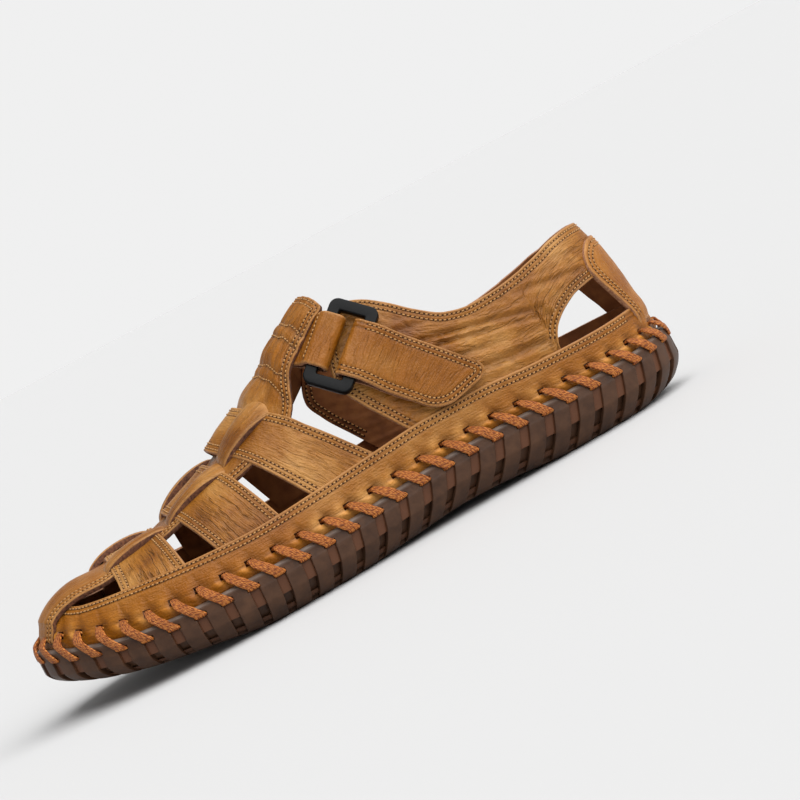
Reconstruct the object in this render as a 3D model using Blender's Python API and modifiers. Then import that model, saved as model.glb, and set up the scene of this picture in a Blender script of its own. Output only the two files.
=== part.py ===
"""Hiking sandal, left shoe: a closed-toe leather upper whip-laced round its edge to a rubber cup sole.

Lengths in the tables are millimetres. A station is the distance along the foot from the back of the heel.
Lateral is +Y, medial is -Y and up is +Z. Every leather piece lies on one skin, the outside of the last.
"""
import bpy
import bmesh
import numpy as np

MM = 0.001
LENGTH = 288.0
GAP = 0.3

# outline of the sole seen from above: distance of its edge from the heel-to-toe axis on each side
OUTLINE = (
    # station, lateral, medial
    (10.0, 20.0, 20.0),
    (29.0, 31.0, 31.0),
    (52.0, 36.0, 34.0),
    (86.0, 38.5, 32.0),
    (121.0, 41.5, 31.0),
    (156.0, 46.5, 35.5),
    (184.0, 51.0, 42.5),
    (207.0, 52.0, 47.5),
    (230.0, 49.5, 48.5),
    (253.0, 42.0, 43.5),
    (274.0, 27.5, 31.0),
)
HEEL_X = -1.5
TOE_TIP_X, TOE_TIP_Y = 289.5, -3.0

# heights along the foot: underside of the sole, top of its rim, top edge of the rand
PROFILE = (
    # station, tread, rim, rand_top
    (0.0, 2.4, 24.4, 38.6),
    (12.0, 1.0, 23.6, 38.2),
    (26.0, 0.0, 23.0, 38.0),
    (58.0, 0.0, 23.2, 38.8),
    (88.0, 2.2, 24.3, 40.6),
    (110.0, 3.2, 24.1, 40.4),
    (138.0, 1.5, 22.5, 38.5),
    (166.0, 0.0, 21.0, 36.4),
    (203.0, 0.0, 20.6, 34.5),
    (230.0, 3.2, 20.7, 34.9),
    (253.0, 5.8, 21.9, 35.6),
    (274.0, 9.4, 26.0, 37.0),
    (288.0, 13.2, 30.0, 40.5),
)

# ridge of the last: top of the foot, its sideways place and how peaked the section is
RIDGE = (
    # station, height, sideways, peak
    (36.0, 101.0, 0.0, 1.00),
    (60.0, 106.0, 0.0, 1.00),
    (90.0, 108.0, 0.0, 1.05),
    (112.0, 105.5, 0.0, 1.10),
    (128.0, 98.5, -0.5, 1.15),
    (145.0, 89.5, -1.0, 1.20),
    (163.0, 78.0, -1.5, 1.20),
    (190.0, 61.0, -2.0, 1.10),
    (206.0, 53.5, -2.5, 1.05),
    (220.0, 48.5, -3.0, 1.00),
    (235.0, 46.0, -3.5, 1.00),
    (250.0, 44.5, -3.5, 1.00),
)

# half-width of the centre band from the toe to the top of the tongue, and its height above the skin
BAND = (
    # station, lateral, medial, lift
    (123.0, 6.5, 5.5, 5.6),
    (126.0, 11.0, 10.0, 5.6),
    (131.0, 13.8, 12.5, 5.6),
    (140.0, 16.0, 15.0, 5.6),
    (148.0, 18.5, 17.0, 5.0),
    (156.0, 25.5, 19.0, 2.0),
    (166.0, 29.5, 20.0, 0.2),
    (186.0, 29.5, 22.0, 0.0),
    (206.0, 25.5, 23.0, 0.0),
    (226.0, 22.5, 22.0, 0.0),
    (250.0, 20.0, 20.0, 0.8),
    (264.0, 16.0, 16.5, 2.8),
    (272.0, 13.5, 14.0, 2.9),
    (284.0, 12.0, 12.5, 2.9),
)

# side straps: stations of both edges at the rand and on the ridge; the medial end lies further ahead
STRAPS = (
    # name, front_low, rear_low, front_top, rear_top, medial_ahead
    ("front", 248.0, 222.0, 246.5, 224.0, 4.0),
    ("middle", 209.0, 182.0, 217.0, 193.0, 6.0),
    ("rear", 167.5, 137.5, 188.5, 170.5, 7.0),
)

# quarter: collar height and lower edge along the foot, and how far its front edge bulges forward
COLLAR = (
    # station, top, foot
    (8.0, 77.8, 57.0),
    (21.0, 79.0, 56.4),
    (31.8, 77.8, 55.0),
    (38.8, 75.8, 52.2),
    (42.8, 74.8, 49.8),
    (46.7, 74.0, 46.3),
    (49.8, 73.2, 40.0),
    (51.0, 73.0, 33.0),
    (62.0, 71.5, 33.0),
    (74.0, 71.0, 34.0),
    (84.0, 73.0, 34.5),
    (94.0, 79.5, 34.5),
    (102.5, 87.0, 34.0),
    (110.5, 92.6, 33.5),
    (118.0, 95.5, 33.0),
)
QUARTER_BULGE = (
    # share of height, forward
    (0.0, -2.0),
    (0.2, 6.0),
    (0.4, 14.0),
    (0.55, 18.0),
    (0.78, 13.0),
    (1.0, 0.0),
)
MEDIAL_FORWARD = 8.5
MEDIAL_DROP = 5.0

# heel counter: station of its front edge at each height
COUNTER = (
    # height, station
    (30.5, 14.0),
    (36.0, 15.0),
    (42.0, 16.5),
    (48.0, 19.0),
    (56.0, 22.0),
    (60.5, 23.0),
    (65.0, 22.0),
    (68.8, 19.0),
    (70.5, 16.5),
)

STITCHES = 58
GROOVE_WIDTH = 5.8
GROOVE_EDGE = 0.35
GROOVE_DEPTH = 1.8
SLOT_TOP, SLOT_FOOT = 2.8, 5.0
CUP_DEPTH = 7.5
HOLE_FOOT, HOLE_TOP = 3.2, 5.6
HOLE_AHEAD = 6.8
LACE_WIDTH, LACE_THICK = 5.2, 1.2
RIM_INSET, CUP_INSET, INSOLE_INSET = 2.2, 4.6, 9.4
SKIN_INSET = 7.9
MARGIN = 3.0
INSOLE_THICK = 3.4
UNDER_RAND = 5.0
RIDGE_HEEL, RIDGE_TOE = 36.0, 250.0

# how far the foot of each groove runs toward the toe
LEAN = (
    # station, shift
    (0.0, 7.0),
    (110.0, 8.0),
    (150.0, 5.0),
    (190.0, 1.5),
    (230.0, 0.0),
    (288.0, 0.0),
)

RING = {"long": 37.5, "short": 20.5, "bar": 4.8, "thick": 3.4, "station": 127.0, "height": 78.3, "lift": 5.9}
RING_ENDS = ((140.0, 70.0), (115.0, 90.4))
STRAP_WIDTH, STRAP_THICK, STRAP_END = 24.0, 1.6, 48.0
FOLD_SLACK = 1.8


def smooth(xs, ys):
    """Curve through the points that never overshoots them."""
    xs, ys = np.asarray(xs, float), np.asarray(ys, float)
    step = np.diff(xs)
    rise = np.diff(ys) / step
    slope = np.concatenate(([rise[0]], np.zeros(len(xs) - 2), [rise[-1]]))
    for i in range(1, len(xs) - 1):
        if rise[i - 1] * rise[i] > 0:
            ahead, behind = 2 * step[i] + step[i - 1], step[i] + 2 * step[i - 1]
            slope[i] = (ahead + behind) / (ahead / rise[i - 1] + behind / rise[i])

    def at(x):
        x = np.clip(x, xs[0], xs[-1])
        i = np.clip(np.searchsorted(xs, x) - 1, 0, len(step) - 1)
        u = (x - xs[i]) / step[i]
        low = (1 + 2 * u) * (1 - u) ** 2 * ys[i] + u * (1 - u) ** 2 * step[i] * slope[i]
        high = u * u * (3 - 2 * u) * ys[i + 1] + u * u * (u - 1) * step[i] * slope[i + 1]
        return low + high

    return at


def columns(table):
    """One curve for each column after the first."""
    rows = np.array(table)
    return [smooth(rows[:, 0], rows[:, c]) for c in range(1, rows.shape[1])]


tread, rim, rand_top = columns(PROFILE)
ridge_height, ridge_side, ridge_peak = columns(RIDGE)
band_lateral, band_medial, band_lift = columns(BAND)
collar_top, collar_foot = columns(COLLAR)
quarter_bulge, = columns(QUARTER_BULGE)
counter_front, = columns(COUNTER)
lean_shift, = columns(LEAN)


def closed_curve(points, per_span=80):
    """Closed curve with steady bends through the points."""
    pts = np.array(points)
    n = len(pts)
    chord = np.linalg.norm(np.roll(pts, -1, 0) - pts, axis=1)
    back = np.roll(chord, 1)
    system = np.zeros((n, n))
    right = np.zeros((n, 2))
    for i in range(n):
        system[i, i - 1] = 1 / back[i]
        system[i, i] = 2 / back[i] + 2 / chord[i]
        system[i, (i + 1) % n] = 1 / chord[i]
        right[i] = 3 * ((pts[i] - pts[i - 1]) / back[i] ** 2 + (pts[(i + 1) % n] - pts[i]) / chord[i] ** 2)
    slope = np.linalg.solve(system, right)
    u = np.linspace(0, 1, per_span, endpoint=False)[:, None]
    spans = []
    for i in range(n):
        j = (i + 1) % n
        spans.append((1 + 2 * u) * (1 - u) ** 2 * pts[i] + u * (1 - u) ** 2 * chord[i] * slope[i]
                     + u * u * (3 - 2 * u) * pts[j] + u * u * (u - 1) * chord[i] * slope[j])
    dense = np.concatenate(spans)
    return np.concatenate((dense, dense[:1]))


EDGE = closed_curve([(HEEL_X, 0.0)] + [(s, out) for s, out, _ in OUTLINE] + [(TOE_TIP_X, TOE_TIP_Y)]
                    + [(s, -inn) for s, _, inn in reversed(OUTLINE)])
ARC = np.concatenate(([0.0], np.cumsum(np.linalg.norm(np.diff(EDGE, axis=0), axis=1))))
AROUND = ARC[-1]
MIDDLE_Y = 0.5 * (EDGE[:, 1].max() + EDGE[:, 1].min())
_run = np.gradient(EDGE, axis=0)
_run[0] = _run[-1] = EDGE[1] - EDGE[-2]
EDGE_OUT = np.stack((-_run[:, 1], _run[:, 0]), 1) / np.linalg.norm(_run, axis=1)[:, None]


def edge_way(s):
    """Unit vector out of the shoe at a distance s along its edge."""
    s = np.mod(s, AROUND)
    way = np.stack((np.interp(s, ARC, EDGE_OUT[:, 0]), np.interp(s, ARC, EDGE_OUT[:, 1])), -1)
    return way / np.linalg.norm(way, axis=-1, keepdims=True)


def edge(s, inset):
    """Point of the outline moved in by inset, at a distance s from the heel by way of the lateral side."""
    s = np.mod(s, AROUND)
    at = np.stack((np.interp(s, ARC, EDGE[:, 0]), np.interp(s, ARC, EDGE[:, 1])), -1)
    return at - edge_way(s) * np.asarray(inset)[..., None]


FEATHER = edge(ARC[:-1], SKIN_INSET)
TOE = int(np.argmax(FEATHER[:, 0]))
FEATHER_LATERAL = FEATHER[:TOE + 1]
FEATHER_MEDIAL = np.concatenate((FEATHER[:1], FEATHER[:TOE - 1:-1]))
FIRST, LAST = FEATHER[0, 0], FEATHER[TOE, 0]
SHARE = (RIDGE_TOE - RIDGE_HEEL) / (LAST - FIRST)
START = RIDGE_HEEL - SHARE * FIRST


def station(fx):
    """Station of a point of the feather edge."""
    return (fx - FIRST) / (LAST - FIRST) * LENGTH


def station_round(s):
    return station(edge(s, SKIN_INSET)[..., 0])


def edge_at(fx, side):
    """Distance along the edge at which the feather edge passes fx on this side."""
    lateral = np.interp(fx, FEATHER_LATERAL[:, 0], ARC[:TOE + 1])
    medial = np.interp(fx, FEATHER_MEDIAL[1:, 0], ARC[:-1][:TOE - 1:-1] - AROUND)
    return np.where(np.asarray(side) > 0, lateral, medial)


def section(fx):
    place = station(fx)
    top = START + SHARE * fx
    return rim(place) - MARGIN, top, ridge_side(top), ridge_height(top), ridge_peak(top)


def reach(fx, z):
    """Share of the way from the feather edge to the ridge at which the skin has height z."""
    low, _, _, high, peak = section(fx)
    up = np.clip((z - low) / (high - low), 0, 1) ** (1 / peak)
    return 1 - np.sqrt(1 - up * up)


def on_skin(fx, fy, k):
    low, top, aside, high, peak = section(fx)
    up = np.sqrt(np.clip(1 - (1 - k) ** 2, 0, 1)) ** peak
    return np.stack((fx + (top - fx) * k, fy + (aside - fy) * k, low + (high - low) * up), -1)


def wall(s, z):
    """Point of the skin over the edge distance s at height z."""
    foot = edge(s, SKIN_INSET)
    return on_skin(foot[..., 0], foot[..., 1], reach(foot[..., 0], z))


def wall_way(s, z):
    """Outward normal of the skin over the edge distance s at height z."""
    here = wall(s, z)
    way = np.cross(wall(s + 0.5, z) - here, wall(s, z + 0.5) - here)
    way /= np.linalg.norm(way)
    return way if np.dot(way[:2], edge_way(s)) > 0 else -way


def feather_y(fx, side):
    lateral = np.interp(fx, FEATHER_LATERAL[:, 0], FEATHER_LATERAL[:, 1])
    medial = np.interp(fx, FEATHER_MEDIAL[:, 0], FEATHER_MEDIAL[:, 1])
    return np.where(np.asarray(side) > 0, lateral, medial)


def under(x, k):
    """Feather station below a point x of the skin."""
    return (x - k * START) / (1 - k + k * SHARE)


def beside(x, z, side=1):
    """Point of the skin seen from the side at x, z."""
    x, z = np.broadcast_arrays(np.asarray(x, float), np.asarray(z, float))
    k = np.zeros(x.shape)
    for _ in range(12):
        fx = under(x, k)
        k = reach(fx, z)
    return on_skin(fx, feather_y(fx, side), k)


def level_on(s, height_of):
    """Height at which the skin over s meets a curve given as heights along the foot."""
    low, high = np.full(s.shape, 15.0), np.full(s.shape, 98.0)
    for _ in range(30):
        z = 0.5 * (low + high)
        over = z > height_of(wall(s, z)[..., 0])
        low, high = np.where(over, low, z), np.where(over, z, high)
    return 0.5 * (low + high)


def above(x, y):
    """Point of the skin seen from above at x, y."""
    x, y = np.broadcast_arrays(np.asarray(x, float), np.asarray(y, float))
    low, high = np.zeros(x.shape), np.ones(x.shape)
    for _ in range(36):
        k = 0.5 * (low + high)
        fx = under(x, k)
        aside = ridge_side(START + SHARE * fx)
        side = np.where(y >= aside, 1, -1)
        wide = np.abs(feather_y(fx, side) - aside) * (1 - k)
        wide = np.where((fx > LAST) | (fx < FIRST), -1.0, wide)
        inside = wide > np.abs(y - aside)
        low, high = np.where(inside, k, low), np.where(inside, high, k)
    point = on_skin(under(x, low), feather_y(under(x, low), side), low)
    point[..., 0], point[..., 1] = x, y
    return point


def normals(grid):
    across = np.cross(np.gradient(grid, axis=0), np.gradient(grid, axis=1))
    across /= np.linalg.norm(across, axis=-1, keepdims=True)
    core = grid.copy()
    core[..., 1] = 0.0
    core[..., 2] = 20.0
    core[..., 0] = np.clip(core[..., 0], 45.0, 235.0)
    return across if np.sum(across * (grid - core)) > 0 else -across


def lift(grid, height):
    return grid + normals(grid) * np.asarray(height)[..., None]


def collection(name, shown):
    made = bpy.data.collections.new(name)
    bpy.context.scene.collection.children.link(made)
    made.hide_render = not shown
    return made


def add_object(name, verts, faces, into):
    """Mesh object from millimetre points, moved so the middle of the shoe is at the origin."""
    mesh = bpy.data.meshes.new(name)
    moved = (np.asarray(verts) - (LENGTH / 2, MIDDLE_Y, 0.0)) * MM
    mesh.from_pydata([tuple(v) for v in moved], [], faces)
    made = bpy.data.objects.new(name, mesh)
    into.objects.link(made)
    tidy = bmesh.new()
    tidy.from_mesh(mesh)
    bmesh.ops.recalc_face_normals(tidy, faces=tidy.faces)
    if tidy.calc_volume(signed=True) < 0:
        bmesh.ops.reverse_faces(tidy, faces=tidy.faces)
    tidy.to_mesh(mesh)
    tidy.free()
    return made


def apply_all(made):
    bpy.context.view_layer.objects.active = made
    for modifier in list(made.modifiers):
        bpy.ops.object.modifier_apply(modifier=modifier.name)


def grid_faces(rows, cols, closed=False):
    faces = []
    for r in range(rows - 1):
        for c in range(cols if closed else cols - 1):
            d = (c + 1) % cols
            faces.append((r * cols + c, r * cols + d, (r + 1) * cols + d, (r + 1) * cols + c))
    return faces


def sheet(name, grid, thick, into, outward=True):
    """Leather piece: an open surface thickened away from the foot."""
    rows, cols = grid.shape[:2]
    made = add_object(name, grid.reshape(-1, 3), grid_faces(rows, cols), into)
    if outward:
        along = made.data.polygons[len(made.data.polygons) // 2]
        way = normals(grid).reshape(-1, 3)[along.vertices[0]]
        if along.normal.dot(way) < 0:
            made.data.flip_normals()
    shell = made.modifiers.new("thickness", "SOLIDIFY")
    shell.thickness = thick * MM
    shell.offset = 1.0
    shell.use_even_offset = True
    apply_all(made)
    return made


def join(base, other):
    cut = base.modifiers.new("join", "BOOLEAN")
    cut.operation = "UNION"
    cut.solver = "EXACT"
    cut.object = other
    apply_all(base)


def drop_slivers(made):
    """Remove the closed specks that the joins leave between layers, and keep the one large shell."""
    work = bmesh.new()
    work.from_mesh(made.data)
    left, shells = set(work.faces), []
    while left:
        queue = [left.pop()]
        shell = []
        while queue:
            face = queue.pop()
            shell.append(face)
            near = {other for side in face.edges for other in side.link_faces} & left
            left -= near
            queue.extend(near)
        shells.append(shell)
    shells.sort(key=len)
    specks = [face for shell in shells[:-1] for face in shell]
    bmesh.ops.delete(work, geom=specks, context="FACES")
    work.to_mesh(made.data)
    work.free()


def colour(made, name, rgb, rough):
    material = bpy.data.materials.new(name)
    material.use_nodes = True
    shader = material.node_tree.nodes["Principled BSDF"]
    shader.inputs["Base Color"].default_value = (*rgb, 1.0)
    shader.inputs["Roughness"].default_value = rough
    made.data.materials.clear()
    made.data.materials.append(material)


for old in list(bpy.data.objects):
    bpy.data.objects.remove(old, do_unlink=True)
parts = collection("hiking_sandal", True)
cutters = collection("cutters", False)

PITCH = AROUND / STITCHES
SLOTS = (np.arange(STITCHES) + 0.5) * PITCH


def ribbed_ring(inset, height, depth, lean):
    """Ring of points round the sole: four for each rib, the groove points sunk by depth."""
    half = GROOVE_WIDTH / 2
    offsets = np.array((-half - GROOVE_EDGE, -half, half, half + GROOVE_EDGE))
    s = (SLOTS[:, None] + offsets).ravel()
    sunk = np.tile((0.0, depth, depth, 0.0), STITCHES)
    signed = np.where(s > AROUND / 2, s - AROUND, s)
    moved = s + lean * lean_shift(station_round(s)) * np.tanh(signed / 14.0)
    flat = edge(moved, inset + sunk)
    z = height(station_round(moved))
    return np.concatenate((flat, z[:, None]), 1)


def flank(place, share):
    """Height at a share of the way from the tread up to the lace slots."""
    return tread(place) + share * (rim(place) - SLOT_FOOT - tread(place))


def make_outsole():
    """Cup sole: rings from the rim down the ribbed side to the tread, and back up inside the cup."""
    rings = [
        ribbed_ring(CUP_INSET, lambda p: rim(p) - CUP_DEPTH, 0.0, 0.0),
        ribbed_ring(CUP_INSET, lambda p: rim(p) - SLOT_TOP, 0.0, 0.0),
        ribbed_ring(CUP_INSET, rim, 0.0, 0.0),
        ribbed_ring(RIM_INSET, rim, 0.0, 0.0),
        ribbed_ring(1.3, lambda p: rim(p) - SLOT_TOP, 0.0, 0.0),
        ribbed_ring(0.7, lambda p: rim(p) - SLOT_FOOT, GROOVE_DEPTH, 0.0),
        ribbed_ring(0.6, lambda p: flank(p, 0.62), GROOVE_DEPTH, 0.35),
        ribbed_ring(4.6, lambda p: flank(p, 0.22), GROOVE_DEPTH, 0.8),
        ribbed_ring(11.5, tread, 0.0, 1.0),
    ]
    around = len(rings[0])
    faces = []
    for r in range(len(rings) - 1):
        for c in range(around):
            d = (c + 1) % around
            if c % 4 == 1 and r in (0, 4):
                continue
            faces.append((r * around + c, r * around + d, (r + 1) * around + d, (r + 1) * around + c))
    for c in range(1, around, 4):
        inner = [c, c + 1, around + c + 1, around + c]
        outer = [5 * around + c, 5 * around + c + 1, 4 * around + c + 1, 4 * around + c]
        for i in range(4):
            j = (i + 1) % 4
            faces.append((inner[i], inner[j], outer[j], outer[i]))
    for ring in (0, len(rings) - 1):
        base = ring * around
        for c in range(around // 2 - 1):
            far = around - 1 - c
            faces.append((base + c, base + c + 1, base + far - 1, base + far))
    return add_object("outsole", np.concatenate(rings), faces, parts)


def make_insole():
    s = np.linspace(0, AROUND, 64, endpoint=False) + AROUND / 128
    flat = edge(s, INSOLE_INSET)
    floor = rim(station_round(s)) - CUP_DEPTH + GAP
    rings = [np.concatenate((flat, (floor + up)[:, None]), 1) for up in (0.0, INSOLE_THICK)]
    faces = grid_faces(2, 64, closed=True)
    for base in (0, 64):
        faces += [(base + c, base + c + 1, base + 62 - c, base + 63 - c) for c in range(31)]
    return add_object("insole", np.concatenate(rings), faces, parts)


def make_rand():
    """Closed leather band round the whole shoe with one hole for each stitch."""
    half = GROOVE_WIDTH / 2
    s = ((SLOTS + HOLE_AHEAD)[:, None] + np.array((-half, half))).ravel()
    place = station_round(s)
    levels = (rim(place) - MARGIN, rim(place) + HOLE_FOOT, rim(place) + HOLE_TOP, rand_top(place))
    skin = np.stack([wall(s, z) for z in levels])
    wrapped = np.concatenate((skin[:, -1:], skin, skin[:, :1]), 1)
    way = normals(wrapped)[:, 1:-1]
    outside = np.array((2.7, 3.2, 3.2, 3.2))[:, None, None]
    rings = list(skin + way * outside) + list((skin + way * 1.2)[::-1])
    around = len(s)
    faces = []
    for r in range(8):
        n = (r + 1) % 8
        for c in range(around):
            d = (c + 1) % around
            if c % 2 == 0 and r in (1, 5):
                continue
            faces.append((r * around + c, r * around + d, n * around + d, n * around + c))
    for c in range(0, around, 2):
        d = c + 1
        outer = [around + c, around + d, 2 * around + d, 2 * around + c]
        inner = [6 * around + c, 6 * around + d, 5 * around + d, 5 * around + c]
        for i in range(4):
            j = (i + 1) % 4
            faces.append((outer[i], outer[j], inner[j], inner[i]))
    return add_object("upper", np.concatenate(rings), faces, parts)


def make_quarter():
    """Panel from the lateral throat round the heel to the medial throat; its top is the collar."""
    half = np.array((118.0, 110.0, 101.0, 91.0, 80.0, 66.0, 51.0, 48.5, 45.5, 41.0, 35.0, 26.0, 16.0))
    share = np.array((0.0, 0.25, 0.5, 0.75, 1.0))
    place = np.concatenate((half, [FIRST], half[::-1]))
    side = np.concatenate((np.ones(len(half) + 1), -np.ones(len(half))))
    s = edge_at(place, side)
    medial = np.where(side < 0, np.clip((place - 8.0) / 14.0, 0, 1), 0.0)
    low, high = level_on(s, collar_foot), level_on(s, collar_top) - MEDIAL_DROP * medial
    z = low + (high - low) * share[:, None]
    near_front = np.clip((place - 62.0) / 55.0, 0, 1) ** 1.5
    ahead = quarter_bulge(share)[:, None] + np.where(side < 0, MEDIAL_FORWARD, 0.0)
    return sheet("quarter", wall(edge_at(place + ahead * near_front, side), z), 2.0, cutters)


def make_counter():
    height = np.array((30.5, 37.0, 43.0, 50.0, 57.0, 63.0, 68.0, 70.5))
    turn = np.linspace(-1, 1, 9)
    k = np.zeros(height.shape)
    for _ in range(12):
        fx = under(counter_front(height), k)
        k = reach(fx, height)
    s = edge_at(fx, 1.0)[:, None] * turn
    raised = 2.1 - 0.7 * np.clip((height - 37.0) / 6.0, 0, 1)
    return sheet("counter", lift(wall(s, height[:, None] + 0 * s), raised[:, None] + 0 * s), 2.0, cutters)


TIP_Y = FEATHER[:, 1][FEATHER[:, 0] > 225.0]
TIP_X = FEATHER[:, 0][FEATHER[:, 0] > 225.0]
TIP_ORDER = np.argsort(TIP_Y)


def toe_front(y):
    return np.interp(y, TIP_Y[TIP_ORDER], TIP_X[TIP_ORDER])


def band_grid(back, share):
    """Points of the centre band: back is the way from the toe tip, share runs from medial -1 to lateral 1."""
    back, share = np.asarray(back)[:, None], np.asarray(share)[None, :]
    x = toe_front(TOE_TIP_Y) - back + 0 * share
    for _ in range(6):
        wide = np.where(share > 0, band_lateral(x), band_medial(x))
        top = np.clip(x, RIDGE_HEEL, RIDGE_TOE)
        y = ridge_side(top) + share * wide
        blend = np.clip(back / 40.0, 0, 1)
        blend = blend * blend * (3 - 2 * blend)
        x = toe_front(y) * (1 - blend) + toe_front(TOE_TIP_Y) * blend - back
    return above(x, y)


def make_band():
    back = np.array((4.4, 6.2, 9.2, 14.0, 21.0, 30.0, 44.0, 62.0, 80.0, 96.0, 110.0, 120.0, 128.0, 137.0,
                     147.0, 152.5, 156.7))
    share = np.linspace(-1, 1, 7)
    grid = band_grid(back, share)
    raised = band_lift(grid[..., 0])
    medial = np.clip(-share, 0, 1) * np.clip((160.0 - grid[..., 0]) / 20.0, 0, 1)
    return sheet("band", lift(grid, raised - 3.0 * medial), 2.2, cutters)


def strap_grid(front_low, rear_low, front_top, rear_top, medial_ahead, turns, shares):
    """Points of a side strap: turn runs from -1 under the medial rand to 1 under the lateral rand."""
    turn, share = np.asarray(turns)[:, None], np.asarray(shares)[None, :]
    side = np.where(turn >= 0, 1, -1) + 0 * share
    low_x = front_low + (rear_low - front_low) * share + np.where(turn < 0, medial_ahead, 0.0)
    high_x = front_top + (rear_top - front_top) * share
    edge_up = 1 - reach(low_x, rand_top(low_x))
    end_up = 1 - reach(low_x, rand_top(low_x) - UNDER_RAND)
    k = 1 - np.sin(np.abs(turn) * np.arcsin(end_up))
    level, base = np.sqrt(1 - (1 - k) ** 2), np.sqrt(1 - edge_up ** 2)
    x = low_x + (high_x - low_x) * (level - base) / (1 - base)
    fx = under(x, k)
    return on_skin(fx, feather_y(fx, side), k)


def make_strap(name, *stations):
    half = np.array((0.2, 0.42, 0.62, 0.8, 1.0))
    turns = np.concatenate((-half[::-1], [0.0], half))
    grid = strap_grid(*stations, turns, (0.0, 0.5, 1.0))
    raised = 0.3 + 1.1 * np.clip((0.86 - np.abs(turns)) / 0.2, 0, 1)
    return sheet("strap_" + name, lift(grid, raised[:, None] + 0 * grid[..., 0]), 1.8, cutters)


def make_strip(name, front_top, rear_top, side):
    """Strip of the band between two slits, pulled up over a side strap."""
    tip = toe_front(TOE_TIP_Y)
    back = tip - np.linspace(front_top + 5.0, rear_top - 5.0, 5)
    grid = band_grid(back, side * np.array((0.41, 0.59, 0.77)))
    raised = 0.4 + 4.2 * np.sin(np.linspace(0, np.pi, 5)) ** 0.7
    return sheet("strip_" + name, lift(grid, raised[:, None] + 0 * grid[..., 0]), 1.7, cutters)


def make_upper():
    upper = make_rand()
    pieces = [make_quarter(), make_counter(), make_band()]
    for name, _, _, front_top, rear_top, _ in STRAPS:
        pieces += [make_strip(f"{name}_{side}", front_top, rear_top, side) for side in (1, -1)]
    pieces += [make_strap(*row) for row in STRAPS]
    for piece in pieces:
        join(upper, piece)
    drop_slivers(upper)
    return upper


def at_hole(hole, off):
    """Edge distance, inset and height of a point in line with a hole of the rand, off the skin by off."""
    z = rim(station_round(hole)) + 0.5 * (HOLE_FOOT + HOLE_TOP)
    point = wall(hole, z) + wall_way(hole, z) * off
    out = edge_way(hole)
    inward = edge(hole, 0.0) - point[:2]
    return hole - float(inward @ (out[1], -out[0])), float(inward @ out), point[2]


def make_lacing():
    """Flat lace that whips the rand to the sole: down outside, in at a slot, up inside, out at a hole."""
    centres = []
    for slot in SLOTS[::-1]:
        hole, following = slot + HOLE_AHEAD, slot + HOLE_AHEAD - PITCH
        level_low = rim(station_round(slot))
        level_mid = rim(station_round(0.5 * (hole + slot)))
        centres += [
            at_hole(hole, 4.5),
            (0.55 * hole + 0.45 * slot, 0.85, level_mid + 0.6),
            (slot, 0.1, level_low - 3.9),
            (slot, 7.7, level_low - 3.9),
            at_hole(following, -0.2),
        ]
    path = np.array(centres)
    flat = np.stack((-path[:, 1], path[:, 2]), 1)
    step = np.roll(flat, -1, 0) - flat
    step /= np.linalg.norm(step, axis=1, keepdims=True)
    across = np.stack((-step[:, 1], step[:, 0]), 1)
    turn = across + np.roll(across, 1, 0)
    turn /= np.linalg.norm(turn, axis=1, keepdims=True)
    turn /= np.maximum(np.sum(turn * across, axis=1, keepdims=True), 0.6)
    out = edge_way(path[:, 0])
    sides = []
    for aside in (LACE_WIDTH / 2, -LACE_WIDTH / 2):
        s = path[:, 0] + aside
        z = path[:, 2] + rim(station_round(s)) - rim(station_round(path[:, 0]))
        sides.append(np.concatenate((edge(s, path[:, 1]), z[:, None]), 1))
    ahead, behind = sides
    thick = np.concatenate((out * turn[:, :1], turn[:, 1:]), 1) * LACE_THICK / 2
    rings = np.stack((ahead + thick, behind + thick, behind - thick, ahead - thick), 1)
    count = len(path)
    faces = []
    for r in range(count):
        n = (r + 1) % count
        faces += [(r * 4 + c, r * 4 + (c + 1) % 4, n * 4 + (c + 1) % 4, n * 4 + c) for c in range(4)]
    return add_object("edge_lacing", rings.reshape(-1, 3), faces, parts)


def ring_frame():
    """Middle of the ring and its long, short and outward directions; short points at the strap's free end."""
    near = beside(np.array((0.0, 0.6)) + RING["station"], np.array((RING["height"], RING["height"])))
    higher = beside(RING["station"], RING["height"] + 0.6)
    out = np.cross(near[1] - near[0], higher - near[0])
    out /= np.linalg.norm(out)
    out = out if out[1] > 0 else -out
    ends = beside(np.array([e[0] for e in RING_ENDS]), np.array([e[1] for e in RING_ENDS]))
    long = ends[1] - ends[0]
    long -= out * np.dot(long, out)
    long /= np.linalg.norm(long)
    short = np.cross(long, out)
    short = short if short[2] < 0 else -short
    return near[0] + out * RING["lift"], long, short, out


RING_AT, RING_LONG, RING_SHORT, RING_OUT = ring_frame()
BAR_AWAY = RING["short"] / 2 - RING["bar"] / 2


def drop_to_skin(points):
    """Points of the ring's plane moved straight in along its normal until they meet the skin."""
    low, high = np.zeros(points.shape[:-1]), np.full(points.shape[:-1], 30.0)
    for _ in range(30):
        depth = 0.5 * (low + high)
        tried = points - RING_OUT * depth[..., None]
        outside = tried[..., 1] > beside(tried[..., 0], tried[..., 2])[..., 1]
        low, high = np.where(outside, depth, low), np.where(outside, high, depth)
    return points - RING_OUT * low[..., None]


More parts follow.
